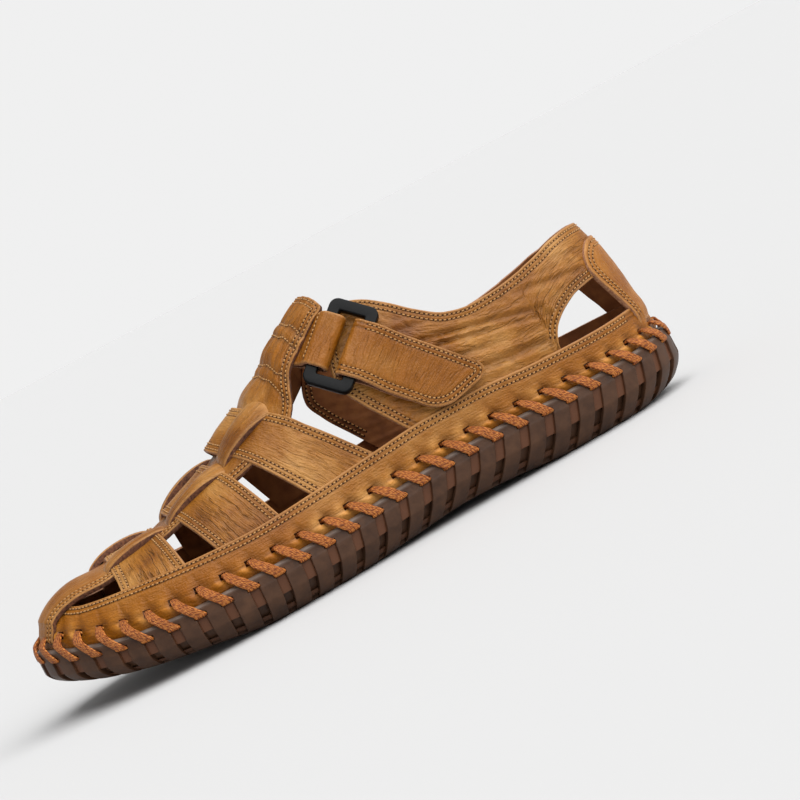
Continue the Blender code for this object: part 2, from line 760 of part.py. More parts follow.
def fold(path, wide, towards, end):
    """Points of a strap round a ring bar: path rows are (away from the bar, height over the skin)."""
    away, height = np.array(path).T
    across = np.array((-1.0, -0.75, 0.0, 0.75, 1.0)) * wide / 2
    away, height, across = away[:, None], height[:, None], across[None, :]
    spare = np.clip(np.abs(across) - wide / 2 + 7.0, 0, 7.0)
    rounded = end * (7.0 - np.sqrt(49.0 - spare ** 2))
    away = away - rounded * np.clip((away - 20.0) / (STRAP_END - 20.0), 0, 1)
    plane = RING_AT - RING_OUT * RING["lift"] + RING_LONG * across[..., None]
    plane = plane + RING_SHORT * towards * (BAR_AWAY + away)[..., None]
    skin = drop_to_skin(plane)
    mix = np.clip((away - 3.5) / 10.0, 0, 1)
    mix = (mix * mix * (3 - 2 * mix))[..., None]
    way = RING_OUT * (1 - mix) + skin_way(skin) * mix
    return plane * (1 - mix) + skin * mix + way * height[..., None]


def skin_way(points):
    """Outward normal of the lateral skin at points seen from the side."""
    x, z = points[..., 0], points[..., 2]
    here = beside(x, z)
    way = np.cross(beside(x + 0.5, z) - here, beside(x, z + 0.5) - here)
    way /= np.linalg.norm(way, axis=-1, keepdims=True)
    return np.where(way[..., 1:2] > 0, way, -way)


def loop_sheet(name, grid, thick):
    """Folded strap: the surface that faces the bar, thickened away from it."""
    rows, cols = grid.shape[:2]
    made = add_object(name, grid.reshape(-1, 3), grid_faces(rows, cols), parts)
    first = made.data.polygons[0]
    if first.normal.dot(tuple(RING_OUT)) < 0:
        made.data.flip_normals()
    shell = made.modifiers.new("thickness", "SOLIDIFY")
    shell.thickness = thick * MM
    shell.offset = 1.0
    shell.use_even_offset = True
    apply_all(made)
    return made


def make_closure():
    bar, rise = RING["bar"] / 2 + GAP + FOLD_SLACK, RING["thick"] / 2 + GAP
    mid = RING["lift"]
    loop = [(1.6, mid + rise), (1.2 - bar, mid + rise), (-bar, mid + rise * 0.5), (-bar, mid - rise * 0.5),
            (1.2 - bar, mid - rise), (1.6, mid - rise)]
    top = [(STRAP_END, 4.3), (41.0, 4.3), (32.0, 4.3), (24.0, 4.3), (16.0, 4.5), (10.0, 5.3), (6.0, 6.5)]
    base = [(6.0, 3.95), (12.0, 3.95), (20.0, 3.95), (28.0, 3.95)]
    strap = loop_sheet("closure_strap", fold(top + loop + base, STRAP_WIDTH, 1.0, 1.0), STRAP_THICK)
    top = [(10.5, 1.7), (7.8, 1.8), (6.0, 2.5), (4.5, 4.2), (3.5, 6.2)]
    base = [(3.5, 3.5), (4.5, 2.6), (6.0, 1.4), (7.8, 1.3), (10.2, 1.3)]
    tab = loop_sheet("ring_tab", fold(top + loop + base, STRAP_WIDTH - 1.0, -1.0, 0.0), STRAP_THICK)
    return strap, tab


def make_ring():
    long, short, thick = RING["long"] / 2, RING["short"] / 2, RING["thick"] / 2
    corner = 3.6
    turn = np.linspace(0, np.pi / 2, 4)
    rings = []
    for grow, height in ((0.0, -0.6), (0.0, 0.6), (-0.7, 1.0), (-RING["bar"] + 0.7, 1.0), (-RING["bar"], 0.6),
                         (-RING["bar"], -0.6), (-RING["bar"] + 0.7, -1.0), (-0.7, -1.0)):
        bend = max(corner + grow, 0.8)
        loop = []
        for quarter in range(4):
            angle = turn + quarter * np.pi / 2
            cx = (long + grow - bend) * (1, -1, -1, 1)[quarter]
            cy = (short + grow - bend) * (1, 1, -1, -1)[quarter]
            loop += [(cx + bend * np.cos(a), cy + bend * np.sin(a)) for a in angle]
        rings.append([RING_AT + RING_LONG * u + RING_SHORT * v + RING_OUT * height * thick for u, v in loop])
    around = len(rings[0])
    faces = []
    for r in range(len(rings)):
        n = (r + 1) % len(rings)
        for c in range(around):
            d = (c + 1) % around
            faces.append((r * around + c, r * around + d, n * around + d, n * around + c))
    return add_object("ring", np.concatenate(rings), faces, parts)


outsole = make_outsole()
insole = make_insole()
upper = make_upper()
lacing = make_lacing()
ring = make_ring()
closure_strap, ring_tab = make_closure()

colour(outsole, "brown_rubber", (0.045, 0.028, 0.022), 0.5)
colour(insole, "brown_board", (0.12, 0.06, 0.03), 0.8)
colour(upper, "tan_leather", (0.42, 0.19, 0.05), 0.55)
colour(lacing, "braided_lace", (0.38, 0.11, 0.02), 0.75)
colour(ring, "black_metal", (0.012, 0.013, 0.014), 0.4)
colour(closure_strap, "tan_strap_leather", (0.42, 0.19, 0.05), 0.55)
colour(ring_tab, "tan_tab_leather", (0.42, 0.19, 0.05), 0.55)

for hidden in cutters.objects:
    hidden.display_type = "WIRE"
    hidden.hide_render = True
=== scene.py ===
"""Looks of the hiking sandal: tan leather, braided edge lace, brown rubber cup sole and a black ring.

Lengths are millimetres until add_piece turns them into metres. A station is the distance along the foot from
the back of the heel, lateral is +Y, up is +Z. All leather lies on one skin, the outside of the last, so the
tables and curves below are the ones the solids are made from. Only the top of the tongue is wider here.
"""
import math

import bpy
import numpy as np
from mathutils import Matrix, Vector


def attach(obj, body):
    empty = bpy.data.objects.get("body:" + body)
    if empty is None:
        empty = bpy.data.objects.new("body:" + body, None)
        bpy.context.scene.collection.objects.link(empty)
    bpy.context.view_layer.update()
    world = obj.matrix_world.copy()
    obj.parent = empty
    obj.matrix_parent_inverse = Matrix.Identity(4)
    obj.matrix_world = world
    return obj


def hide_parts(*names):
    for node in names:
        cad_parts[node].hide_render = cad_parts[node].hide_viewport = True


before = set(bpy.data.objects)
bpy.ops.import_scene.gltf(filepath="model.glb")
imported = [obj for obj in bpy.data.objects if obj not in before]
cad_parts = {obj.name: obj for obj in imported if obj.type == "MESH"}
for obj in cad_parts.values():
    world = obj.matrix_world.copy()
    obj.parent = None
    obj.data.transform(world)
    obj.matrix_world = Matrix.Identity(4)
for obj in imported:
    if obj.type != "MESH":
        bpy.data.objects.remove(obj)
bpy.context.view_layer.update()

MM = 0.001
LENGTH = 288.0

# outline of the sole seen from above: distance of its edge from the heel-to-toe axis on each side
OUTLINE = (
    # station, lateral, medial
    (10.0, 20.0, 20.0),
    (29.0, 31.0, 31.0),
    (52.0, 36.0, 34.0),
    (86.0, 38.5, 32.0),
    (121.0, 41.5, 31.0),
    (156.0, 46.5, 35.5),
    (184.0, 51.0, 42.5),
    (207.0, 52.0, 47.5),
    (230.0, 49.5, 48.5),
    (253.0, 42.0, 43.5),
    (274.0, 27.5, 31.0),
)
HEEL_X = -1.5
TOE_TIP_X, TOE_TIP_Y = 289.5, -3.0

# heights along the foot: underside of the sole, top of its rim, top edge of the rand
PROFILE = (
    # station, tread, rim, rand_top
    (0.0, 2.4, 24.4, 38.6),
    (12.0, 1.0, 23.6, 38.2),
    (26.0, 0.0, 23.0, 38.0),
    (58.0, 0.0, 23.2, 38.8),
    (88.0, 2.2, 24.3, 40.6),
    (110.0, 3.2, 24.1, 40.4),
    (138.0, 1.5, 22.5, 38.5),
    (166.0, 0.0, 21.0, 36.4),
    (203.0, 0.0, 20.6, 34.5),
    (230.0, 3.2, 20.7, 34.9),
    (253.0, 5.8, 21.9, 35.6),
    (274.0, 9.4, 26.0, 37.0),
    (288.0, 13.2, 30.0, 40.5),
)

# ridge of the last: top of the foot, its sideways place and how peaked the section is
RIDGE = (
    # station, height, sideways, peak
    (36.0, 101.0, 0.0, 1.00),
    (60.0, 106.0, 0.0, 1.00),
    (90.0, 108.0, 0.0, 1.05),
    (112.0, 105.5, 0.0, 1.10),
    (128.0, 98.5, -0.5, 1.15),
    (145.0, 89.5, -1.0, 1.20),
    (163.0, 78.0, -1.5, 1.20),
    (190.0, 61.0, -2.0, 1.10),
    (206.0, 53.5, -2.5, 1.05),
    (220.0, 48.5, -3.0, 1.00),
    (235.0, 46.0, -3.5, 1.00),
    (250.0, 44.5, -3.5, 1.00),
)

# half-width of the centre band from the toe to the top of the tongue, and its height above the skin
BAND = (
    # station, lateral, medial, lift
    (123.0, 10.5, 7.5, 5.6),
    (126.0, 13.5, 11.0, 5.6),
    (131.0, 14.2, 12.8, 5.6),
    (140.0, 16.0, 15.0, 5.6),
    (148.0, 18.5, 17.0, 5.0),
    (156.0, 25.5, 19.0, 2.0),
    (166.0, 29.5, 20.0, 0.2),
    (186.0, 29.5, 22.0, 0.0),
    (206.0, 25.5, 23.0, 0.0),
    (226.0, 22.5, 22.0, 0.0),
    (250.0, 20.0, 20.0, 0.8),
    (264.0, 16.0, 16.5, 2.8),
    (272.0, 13.5, 14.0, 2.9),
    (284.0, 12.0, 12.5, 2.9),
)

# side straps: stations of both edges at the rand and on the ridge; the medial end lies further ahead
STRAPS = (
    # name, front_low, rear_low, front_top, rear_top, medial_ahead
    ("front", 248.0, 222.0, 246.5, 224.0, 4.0),
    ("middle", 209.0, 182.0, 217.0, 193.0, 6.0),
    ("rear", 167.5, 137.5, 188.5, 170.5, 7.0),
)

# quarter: collar height and lower edge along the foot, and how far its front edge bulges forward
COLLAR = (
    # station, top, foot
    (8.0, 77.8, 57.0),
    (21.0, 79.0, 56.4),
    (31.8, 77.8, 55.0),
    (38.8, 75.8, 52.2),
    (42.8, 74.8, 49.8),
    (46.7, 74.0, 46.3),
    (49.8, 73.2, 40.0),
    (51.0, 73.0, 33.0),
    (62.0, 71.5, 33.0),
    (74.0, 71.0, 34.0),
    (84.0, 73.0, 34.5),
    (94.0, 79.5, 34.5),
    (102.5, 87.0, 34.0),
    (110.5, 92.6, 33.5),
    (118.0, 95.5, 33.0),
)
QUARTER_BULGE = (
    # share of height, forward
    (0.0, -2.0),
    (0.2, 6.0),
    (0.4, 14.0),
    (0.55, 18.0),
    (0.78, 13.0),
    (1.0, 0.0),
)
MEDIAL_FORWARD = 8.5
MEDIAL_DROP = 5.0

# heel counter: station of its front edge at each height
COUNTER = (
    # height, station
    (30.5, 14.0),
    (36.0, 15.0),
    (42.0, 16.5),
    (48.0, 19.0),
    (56.0, 22.0),
    (60.5, 23.0),
    (65.0, 22.0),
    (68.8, 19.0),
    (70.5, 16.5),
)

# how far the foot of each groove of the sole runs toward the toe
LEAN = (
    # station, shift
    (0.0, 7.0),
    (110.0, 8.0),
    (150.0, 5.0),
    (190.0, 1.5),
    (230.0, 0.0),
    (288.0, 0.0),
)

# sole: turns of its lace, depth of its grooves, foot of the lace slots under the rim and depth of the cup
WHIPS = 58
GROOVE_DEPTH, SLOT_FOOT, CUP_DEPTH = 1.8, 5.0, 7.5
# lace holes of the rand: foot and top over the rim, and how far each lies ahead of its slot
HOLE_FOOT, HOLE_TOP, HOLE_AHEAD = 3.2, 5.6, 6.8
LACE_WIDTH, LACE_THICK = 5.2, 1.2
# insets from the sole's outline: wall of the cup, edge of the insole, foot of the skin
CUP_INSET, INSOLE_INSET, SKIN_INSET = 4.6, 9.4, 7.9
# how far the skin reaches down below the rim, and the straps below the top of the rand
MARGIN, UNDER_RAND = 3.0, 5.0
INSOLE_THICK = 3.4
RIDGE_HEEL, RIDGE_TOE = 36.0, 250.0
# ring: its size, and the place and lift of its middle over the skin; its long axis runs between RING_ENDS
RING = {"long": 37.5, "short": 20.5, "bar": 4.8, "thick": 3.4, "station": 127.0, "height": 78.3, "lift": 5.9}
RING_ENDS = ((140.0, 70.0), (115.0, 90.4))
# closure strap: width, thickness, and the way from the ring's bar to its free end
STRAP_WIDTH, STRAP_THICK, STRAP_END = 24.0, 1.6, 48.0
# room in a fold round the ring's bar, and between pieces that lie on each other
FOLD_SLACK = 1.8
GAP = 0.3

# shares of the band's half-width between which a strip is pulled up over each strap
STRIP_SHARES = (0.41, 0.77)
# leather thicknesses, and the distances of the two stitch rows from an edge
WALL, BAND_WALL, STRAP_WALL = 2.0, 2.2, 1.8
ROW_NEAR, ROW_FAR = 1.5, 3.5


def smooth(xs, ys):
    """Curve through the points that never overshoots them."""
    xs, ys = np.asarray(xs, float), np.asarray(ys, float)
    step = np.diff(xs)
    rise = np.diff(ys) / step
    slope = np.concatenate(([rise[0]], np.zeros(len(xs) - 2), [rise[-1]]))
    for i in range(1, len(xs) - 1):
        if rise[i - 1] * rise[i] > 0:
            ahead, behind = 2 * step[i] + step[i - 1], step[i] + 2 * step[i - 1]
            slope[i] = (ahead + behind) / (ahead / rise[i - 1] + behind / rise[i])

    def at(x):
        x = np.clip(x, xs[0], xs[-1])
        i = np.clip(np.searchsorted(xs, x) - 1, 0, len(step) - 1)
        u = (x - xs[i]) / step[i]
        low = (1 + 2 * u) * (1 - u) ** 2 * ys[i] + u * (1 - u) ** 2 * step[i] * slope[i]
        high = u * u * (3 - 2 * u) * ys[i + 1] + u * u * (u - 1) * step[i] * slope[i + 1]
        return low + high

    return at


def columns(table):
    """One curve for each column after the first."""
    rows = np.array(table)
    return [smooth(rows[:, 0], rows[:, c]) for c in range(1, rows.shape[1])]


def ease(low, high, x):
    """Soft step from 0 at low to 1 at high."""
    u = np.clip((np.asarray(x, float) - low) / (high - low), 0, 1)
    return u * u * (3 - 2 * u)


def hump(x, middle, wide):
    """Soft bump of height 1 round a middle."""
    return np.exp(-((x - middle) / wide) ** 2)


tread, rim, rand_top = columns(PROFILE)
ridge_height, ridge_side, ridge_peak = columns(RIDGE)
band_lateral, band_medial, band_lift = columns(BAND)
collar_top, collar_foot = columns(COLLAR)
quarter_bulge, = columns(QUARTER_BULGE)
counter_front, = columns(COUNTER)
lean_shift, = columns(LEAN)


def closed_curve(points, per_span=80):
    """Closed curve with steady bends through the points."""
    pts = np.array(points)
    n = len(pts)
    chord = np.linalg.norm(np.roll(pts, -1, 0) - pts, axis=1)
    back = np.roll(chord, 1)
    system = np.zeros((n, n))
    right = np.zeros((n, 2))
    for i in range(n):
        system[i, i - 1] = 1 / back[i]
        system[i, i] = 2 / back[i] + 2 / chord[i]
        system[i, (i + 1) % n] = 1 / chord[i]
        right[i] = 3 * ((pts[i] - pts[i - 1]) / back[i] ** 2 + (pts[(i + 1) % n] - pts[i]) / chord[i] ** 2)
    slope = np.linalg.solve(system, right)
    u = np.linspace(0, 1, per_span, endpoint=False)[:, None]
    spans = []
    for i in range(n):
        j = (i + 1) % n
        spans.append((1 + 2 * u) * (1 - u) ** 2 * pts[i] + u * (1 - u) ** 2 * chord[i] * slope[i]
                     + u * u * (3 - 2 * u) * pts[j] + u * u * (u - 1) * chord[i] * slope[j])
    dense = np.concatenate(spans)
    return np.concatenate((dense, dense[:1]))


EDGE = closed_curve([(HEEL_X, 0.0)] + [(s, out) for s, out, _ in OUTLINE] + [(TOE_TIP_X, TOE_TIP_Y)]
                    + [(s, -inn) for s, _, inn in reversed(OUTLINE)])
ARC = np.concatenate(([0.0], np.cumsum(np.linalg.norm(np.diff(EDGE, axis=0), axis=1))))
AROUND = ARC[-1]
MIDDLE_Y = 0.5 * (EDGE[:, 1].max() + EDGE[:, 1].min())
EDGE_RUN = np.gradient(EDGE, axis=0)
EDGE_RUN[0] = EDGE_RUN[-1] = EDGE[1] - EDGE[-2]
EDGE_OUT = np.stack((-EDGE_RUN[:, 1], EDGE_RUN[:, 0]), 1) / np.linalg.norm(EDGE_RUN, axis=1)[:, None]
PITCH = AROUND / WHIPS
SLOTS = (np.arange(WHIPS) + 0.5) * PITCH


def edge_way(s):
    """Unit vector out of the shoe at a distance s along its edge."""
    s = np.mod(s, AROUND)
    way = np.stack((np.interp(s, ARC, EDGE_OUT[:, 0]), np.interp(s, ARC, EDGE_OUT[:, 1])), -1)
    return way / np.linalg.norm(way, axis=-1, keepdims=True)


def edge(s, inset):
    """Point of the sole's outline moved in by inset; s is the way from the heel along the lateral side."""
    s = np.mod(s, AROUND)
    at = np.stack((np.interp(s, ARC, EDGE[:, 0]), np.interp(s, ARC, EDGE[:, 1])), -1)
    return at - edge_way(s) * np.asarray(inset)[..., None]


FEATHER = edge(ARC[:-1], SKIN_INSET)
TOE = int(np.argmax(FEATHER[:, 0]))
FEATHER_LATERAL = FEATHER[:TOE + 1]
FEATHER_MEDIAL = np.concatenate((FEATHER[:1], FEATHER[:TOE - 1:-1]))
FIRST, LAST = FEATHER[0, 0], FEATHER[TOE, 0]
SHARE = (RIDGE_TOE - RIDGE_HEEL) / (LAST - FIRST)
START = RIDGE_HEEL - SHARE * FIRST


def station(fx):
    """Station of a point of the feather edge."""
    return (fx - FIRST) / (LAST - FIRST) * LENGTH


def station_round(s):
    """Station of the feather edge at a distance s along the sole's edge."""
    return station(edge(s, SKIN_INSET)[..., 0])


def edge_at(fx, side):
    """Distance along the edge at which the feather edge passes fx on this side."""
    lateral = np.interp(fx, FEATHER_LATERAL[:, 0], ARC[:TOE + 1])
    medial = np.interp(fx, FEATHER_MEDIAL[1:, 0], ARC[:-1][:TOE - 1:-1] - AROUND)
    return np.where(np.asarray(side) > 0, lateral, medial)


def section(fx):
    """Foot, ridge station, ridge place, ridge height and peak of the section that stands on fx."""
    place = station(fx)
    top = START + SHARE * fx
    return rim(place) - MARGIN, top, ridge_side(top), ridge_height(top), ridge_peak(top)


def reach(fx, z):
    """Share of the way from the feather edge to the ridge at which the skin has height z."""
    low, _, _, high, peak = section(fx)
    up = np.clip((z - low) / (high - low), 0, 1) ** (1 / peak)
    return 1 - np.sqrt(1 - up * up)


def on_skin(fx, fy, k):
    """Point of the skin a share k of the way from the feather edge to the ridge."""
    low, top, aside, high, peak = section(fx)
    up = np.sqrt(np.clip(1 - (1 - k) ** 2, 0, 1)) ** peak
    return np.stack((fx + (top - fx) * k, fy + (aside - fy) * k, low + (high - low) * up), -1)


def wall(s, z):
    """Point of the skin over the edge distance s at height z."""
    foot = edge(s, SKIN_INSET)
    return on_skin(foot[..., 0], foot[..., 1], reach(foot[..., 0], z))


def wall_way(s, z):
    """Outward normal of the skin over the edge distance s at height z."""
    here = wall(s, z)
    way = np.cross(wall(s + 0.5, z) - here, wall(s, z + 0.5) - here)
    way /= np.linalg.norm(way, axis=-1, keepdims=True)
    flip = np.sum(way[..., :2] * edge_way(s), -1, keepdims=True) > 0
    return np.where(flip, way, -way)


def feather_y(fx, side):
    """Sideways place of the feather edge at fx on this side."""
    lateral = np.interp(fx, FEATHER_LATERAL[:, 0], FEATHER_LATERAL[:, 1])
    medial = np.interp(fx, FEATHER_MEDIAL[:, 0], FEATHER_MEDIAL[:, 1])
    return np.where(np.asarray(side) > 0, lateral, medial)


def under(x, k):
    """Feather station below a point x of the skin."""
    return (x - k * START) / (1 - k + k * SHARE)


def beside(x, z, side=1):
    """Point of the skin seen from the side at x, z."""
    x, z = np.broadcast_arrays(np.asarray(x, float), np.asarray(z, float))
    k = np.zeros(x.shape)
    for _ in range(12):
        fx = under(x, k)
        k = reach(fx, z)
    return on_skin(fx, feather_y(fx, side), k)


# levels between which a height on the skin is looked for
SKIN_LEVELS = (15.0, 98.0)


def level_on(s, height_of):
    """Height at which the skin over s meets a curve given as heights along the foot."""
    low, high = (np.full(s.shape, level) for level in SKIN_LEVELS)
    for _ in range(30):
        z = 0.5 * (low + high)
        over = z > height_of(wall(s, z)[..., 0])
        low, high = np.where(over, low, z), np.where(over, z, high)
    return 0.5 * (low + high)


def above(x, y):
    """Point of the skin seen from above at x, y."""
    x, y = np.broadcast_arrays(np.asarray(x, float), np.asarray(y, float))
    low, high = np.zeros(x.shape), np.ones(x.shape)
    for _ in range(36):
        k = 0.5 * (low + high)
        fx = under(x, k)
        aside = ridge_side(START + SHARE * fx)
        side = np.where(y >= aside, 1, -1)
        wide = np.abs(feather_y(fx, side) - aside) * (1 - k)
        wide = np.where((fx > LAST) | (fx < FIRST), -1.0, wide)
        inside = wide > np.abs(y - aside)
        low, high = np.where(inside, k, low), np.where(inside, high, k)
    point = on_skin(under(x, low), feather_y(under(x, low), side), low)
    point[..., 0], point[..., 1] = x, y
    return point


# station from which the feather edge belongs to the toe
TOE_FROM = 225.0
TOE_PART = FEATHER[:, 0] > TOE_FROM
TOE_ORDER = np.argsort(FEATHER[TOE_PART][:, 1])
TIP = FEATHER[TOE_PART][TOE_ORDER]
TIP_ARC = ARC[:-1][TOE_PART][TOE_ORDER]
# way back from the toe over which the rows of the band turn from round to straight
ROUND_TOE = 40.0


def toe_front(y):
    """Station of the feather edge at the toe."""
    return np.interp(y, TIP[:, 1], TIP[:, 0])


def band_grid(back, share):
    """Points of the centre band: back is the way from the toe tip, share runs from medial -1 to lateral 1."""
    back, share = np.asarray(back)[:, None], np.asarray(share)[None, :]
    x = toe_front(TOE_TIP_Y) - back + 0 * share
    for _ in range(6):
        wide = np.where(share > 0, band_lateral(x), band_medial(x))
        top = np.clip(x, RIDGE_HEEL, RIDGE_TOE)
        y = ridge_side(top) + share * wide
        blend = ease(0.0, ROUND_TOE, back)
        x = toe_front(y) * (1 - blend) + toe_front(TOE_TIP_Y) * blend - back
    return above(x, y)


def strap_grid(front_low, rear_low, front_top, rear_top, medial_ahead, turns, shares):
    """Points of a side strap: turn runs from -1 at its medial end over the ridge to 1 at its lateral end."""
    turn, share = np.asarray(turns)[:, None], np.asarray(shares)[None, :]
    side = np.where(turn >= 0, 1, -1) + 0 * share
    low_x = front_low + (rear_low - front_low) * share + np.where(turn < 0, medial_ahead, 0.0)
    high_x = front_top + (rear_top - front_top) * share
    edge_up = 1 - reach(low_x, rand_top(low_x))
    end_up = 1 - reach(low_x, rand_top(low_x) - UNDER_RAND)
    k = 1 - np.sin(np.abs(turn) * np.arcsin(end_up))
    level, base = np.sqrt(1 - (1 - k) ** 2), np.sqrt(1 - edge_up ** 2)
    x = low_x + (high_x - low_x) * (level - base) / (1 - base)
    fx = under(x, k)
    return on_skin(fx, feather_y(fx, side), k)


def unit(ways):
    """Vectors of length 1 in the same directions."""
    return ways / np.maximum(np.linalg.norm(ways, axis=-1, keepdims=True), 1e-9)


# height and stations of the line inside the last that outward normals point away from
CORE_HEIGHT, CORE_STATIONS = 20.0, (45.0, 235.0)


def skin_normals(grid, closed=False):
    """Outward normals of a grid that lies on the last; closed grids wrap round in their columns."""
    if closed:
        wide = np.concatenate((grid[:, -2:], grid, grid[:, :2]), 1)
        return skin_normals(wide)[:, 2:-2]
    across = unit(np.cross(np.gradient(grid, axis=0), np.gradient(grid, axis=1)))
    core = grid.copy()
    core[..., 0] = np.clip(core[..., 0], *CORE_STATIONS)
    core[..., 1] = 0.0
    core[..., 2] = CORE_HEIGHT
    return across if np.sum(across * (grid - core)) > 0 else -across


def grid_quads(rows, cols, closed=False):
    """Faces between the points of a grid; closed grids wrap round in their columns."""
    row = np.arange(rows - 1)[:, None] * cols
    col = np.arange(cols if closed else cols - 1)[None, :]
    far = (col + 1) % cols
    quads = np.stack((row + col, row + far, row + cols + far, row + cols + col), -1)
    return quads.reshape(-1, 4)


def closed_quads(rows, cols):
    """Faces of a grid that wraps round in its rows and its columns."""
    last, col = (rows - 1) * cols, np.arange(cols)
    far = (col + 1) % cols
    return np.concatenate((grid_quads(rows, cols, True), np.stack((last + col, last + far, far, col), 1)))


def add_piece(name, verts, faces, finishes, node, finish_of=None, marks=None, crisp=48.0):
    """Mesh piece from millimetre points that rides on the shoe and stands for a node of it."""
    mesh = bpy.data.meshes.new(name)
    moved = (np.asarray(verts, float) - (LENGTH / 2, MIDDLE_Y, 0.0)) * MM
    faces = [face.tolist() if isinstance(face, np.ndarray) else list(face) for face in faces]
    mesh.from_pydata(moved.tolist(), [], faces)
    for finish in finishes:
        mesh.materials.append(finish)
    if finish_of is not None:
        mesh.polygons.foreach_set("material_index", np.asarray(finish_of, np.int32))
    for mark, values in (marks or {}).items():
        values = np.asarray(values, np.float32)
        kind, part = ("FLOAT", "value") if values.ndim == 1 else ("FLOAT_VECTOR", "vector")
        mesh.attributes.new(mark, kind, "POINT").data.foreach_set(part, values.ravel())
    mesh.polygons.foreach_set("use_smooth", np.ones(len(mesh.polygons), bool))
    mesh.set_sharp_from_angle(angle=math.radians(crisp))
    mesh.update()
    piece = bpy.data.objects.new(name, mesh)
    bpy.context.scene.collection.objects.link(piece)
    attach(piece, "root")
    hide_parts(node)
    return piece


# places beside the ridge that a rounded top is fitted to, and between which it blends in
RIDGE_FIT, RIDGE_BLEND = (0.07, 0.24), (0.06, 0.15)


def over_ridge(grid, places):
    """Grid whose rows cross the ridge at place 0, with the crease there rounded off."""
    near = (np.abs(places) > RIDGE_FIT[0]) & (np.abs(places) < RIDGE_FIT[1])
    mix = 1 - ease(*RIDGE_BLEND, np.abs(places))
    rounded = grid.copy()
    for col in range(grid.shape[1]):
        bend = np.polyfit(grid[near, col, 1], grid[near, col, 2], 2)
        rounded[:, col, 2] += mix * (np.polyval(bend, grid[:, col, 1]) - grid[:, col, 2])
    return rounded


def far_from(points, line):
    """Distance of every point from a line of points."""
    best = np.full(points.shape[:-1], 1e9)
    ahead = line[1:] - line[:-1]
    size = np.maximum(np.sum(ahead * ahead, -1), 1e-9)
    for start, run, square in zip(line[:-1], ahead, size):
        along = np.clip(((points - start) @ run) / square, 0, 1)
        gap = np.linalg.norm(points - start - along[..., None] * run, axis=-1)
        best = np.minimum(best, gap)
    return best


# where each side of a grid lies in it
SIDES = {
    "low": (0, slice(None)),
    "high": (-1, slice(None)),
    "first": (slice(None), 0),
    "last": (slice(None), -1),
}
# height and width beside an edge: channel of a stitch row, swelling between two rows, bank behind them
SEAM_CHANNEL, SEAM_SWELL, SEAM_BANK = (0.26, 0.5), (0.08, 0.6), (0.06, 0.7)
BANK_BEHIND = 1.3
# how much painted shade darkens the leather in a stitch channel, and painted highlight lightens the swelling
SEAM_DARK, SEAM_PALE = 1.1, 0.5
# cut edge: share of its softness that rounds it off, height of its crown, width of the rubbed rim beside it
EDGE_ROUND, EDGE_CROWN, RUB_WIDTH = 0.8, 0.16, 0.8
# least distance from an edge, as a share of the way over the leather; it keeps the layers of a fold apart
FOLD_SHARE = 0.3


def sewn_channel(away, rows):
    """Height of leather beside an edge: it is drawn down along the stitch rows and bulges between them."""
    rise = np.zeros(away.shape)
    for row in rows:
        rise -= SEAM_CHANNEL[0] * hump(away, row, SEAM_CHANNEL[1])
    if len(rows) > 1:
        rise += SEAM_SWELL[0] * hump(away, 0.5 * (rows[0] + rows[1]), SEAM_SWELL[1])
    return rise + SEAM_BANK[0] * hump(away, rows[-1] + BANK_BEHIND, SEAM_BANK[1])


def lengths(line):
    """Distance along a line at each of its points."""
    return np.concatenate(([0.0], np.cumsum(np.linalg.norm(np.diff(line, axis=0), axis=1))))


def side_gap(grid, side):
    """Distance of every point of a grid from one of its sides; the far layer of a fold does not count."""
    turned = grid if side in ("low", "high") else np.swapaxes(grid, 0, 1)
    turned = turned if side in ("low", "first") else turned[::-1]
    steps = np.linalg.norm(np.diff(turned, axis=0), axis=-1)
    walked = np.concatenate((np.zeros((1,) + steps.shape[1:]), np.cumsum(steps, 0)))
    gap = np.maximum(far_from(turned, turned[0]), FOLD_SHARE * walked)
    gap = gap if side in ("low", "first") else gap[::-1]
    return gap if side in ("low", "high") else np.swapaxes(gap, 0, 1)


def cut_edges(quads, worn, inner):
    """Cut edges between a worn and an inner face: points of their crown, their faces, the points beside."""
    count = len(worn)
    starts, ends = quads.ravel(), np.roll(quads, -1, 1).ravel()
    cut = ~np.isin(starts * count + ends, ends * count + starts)
    starts, ends = starts[cut], ends[cut]
    inside_of = np.zeros((count, 3))
    shared = np.zeros(count)
    centres = worn[quads].mean(1)
    for corner in range(4):
        np.add.at(inside_of, quads[:, corner], centres)
        np.add.at(shared, quads[:, corner], 1.0)
    rims = np.unique(starts)
    place = np.full(count, -1)
    place[rims] = np.arange(len(rims)) + 2 * count
    outward = unit(worn[rims] - inside_of[rims] / shared[rims, None])
    crown = 0.5 * (worn[rims] + inner[rims]) + outward * EDGE_CROWN
    faces = np.concatenate((np.stack((ends, starts, place[starts], place[ends]), 1),
                            np.stack((place[ends], place[starts], starts + count, ends + count), 1)))
    return crown, faces, rims


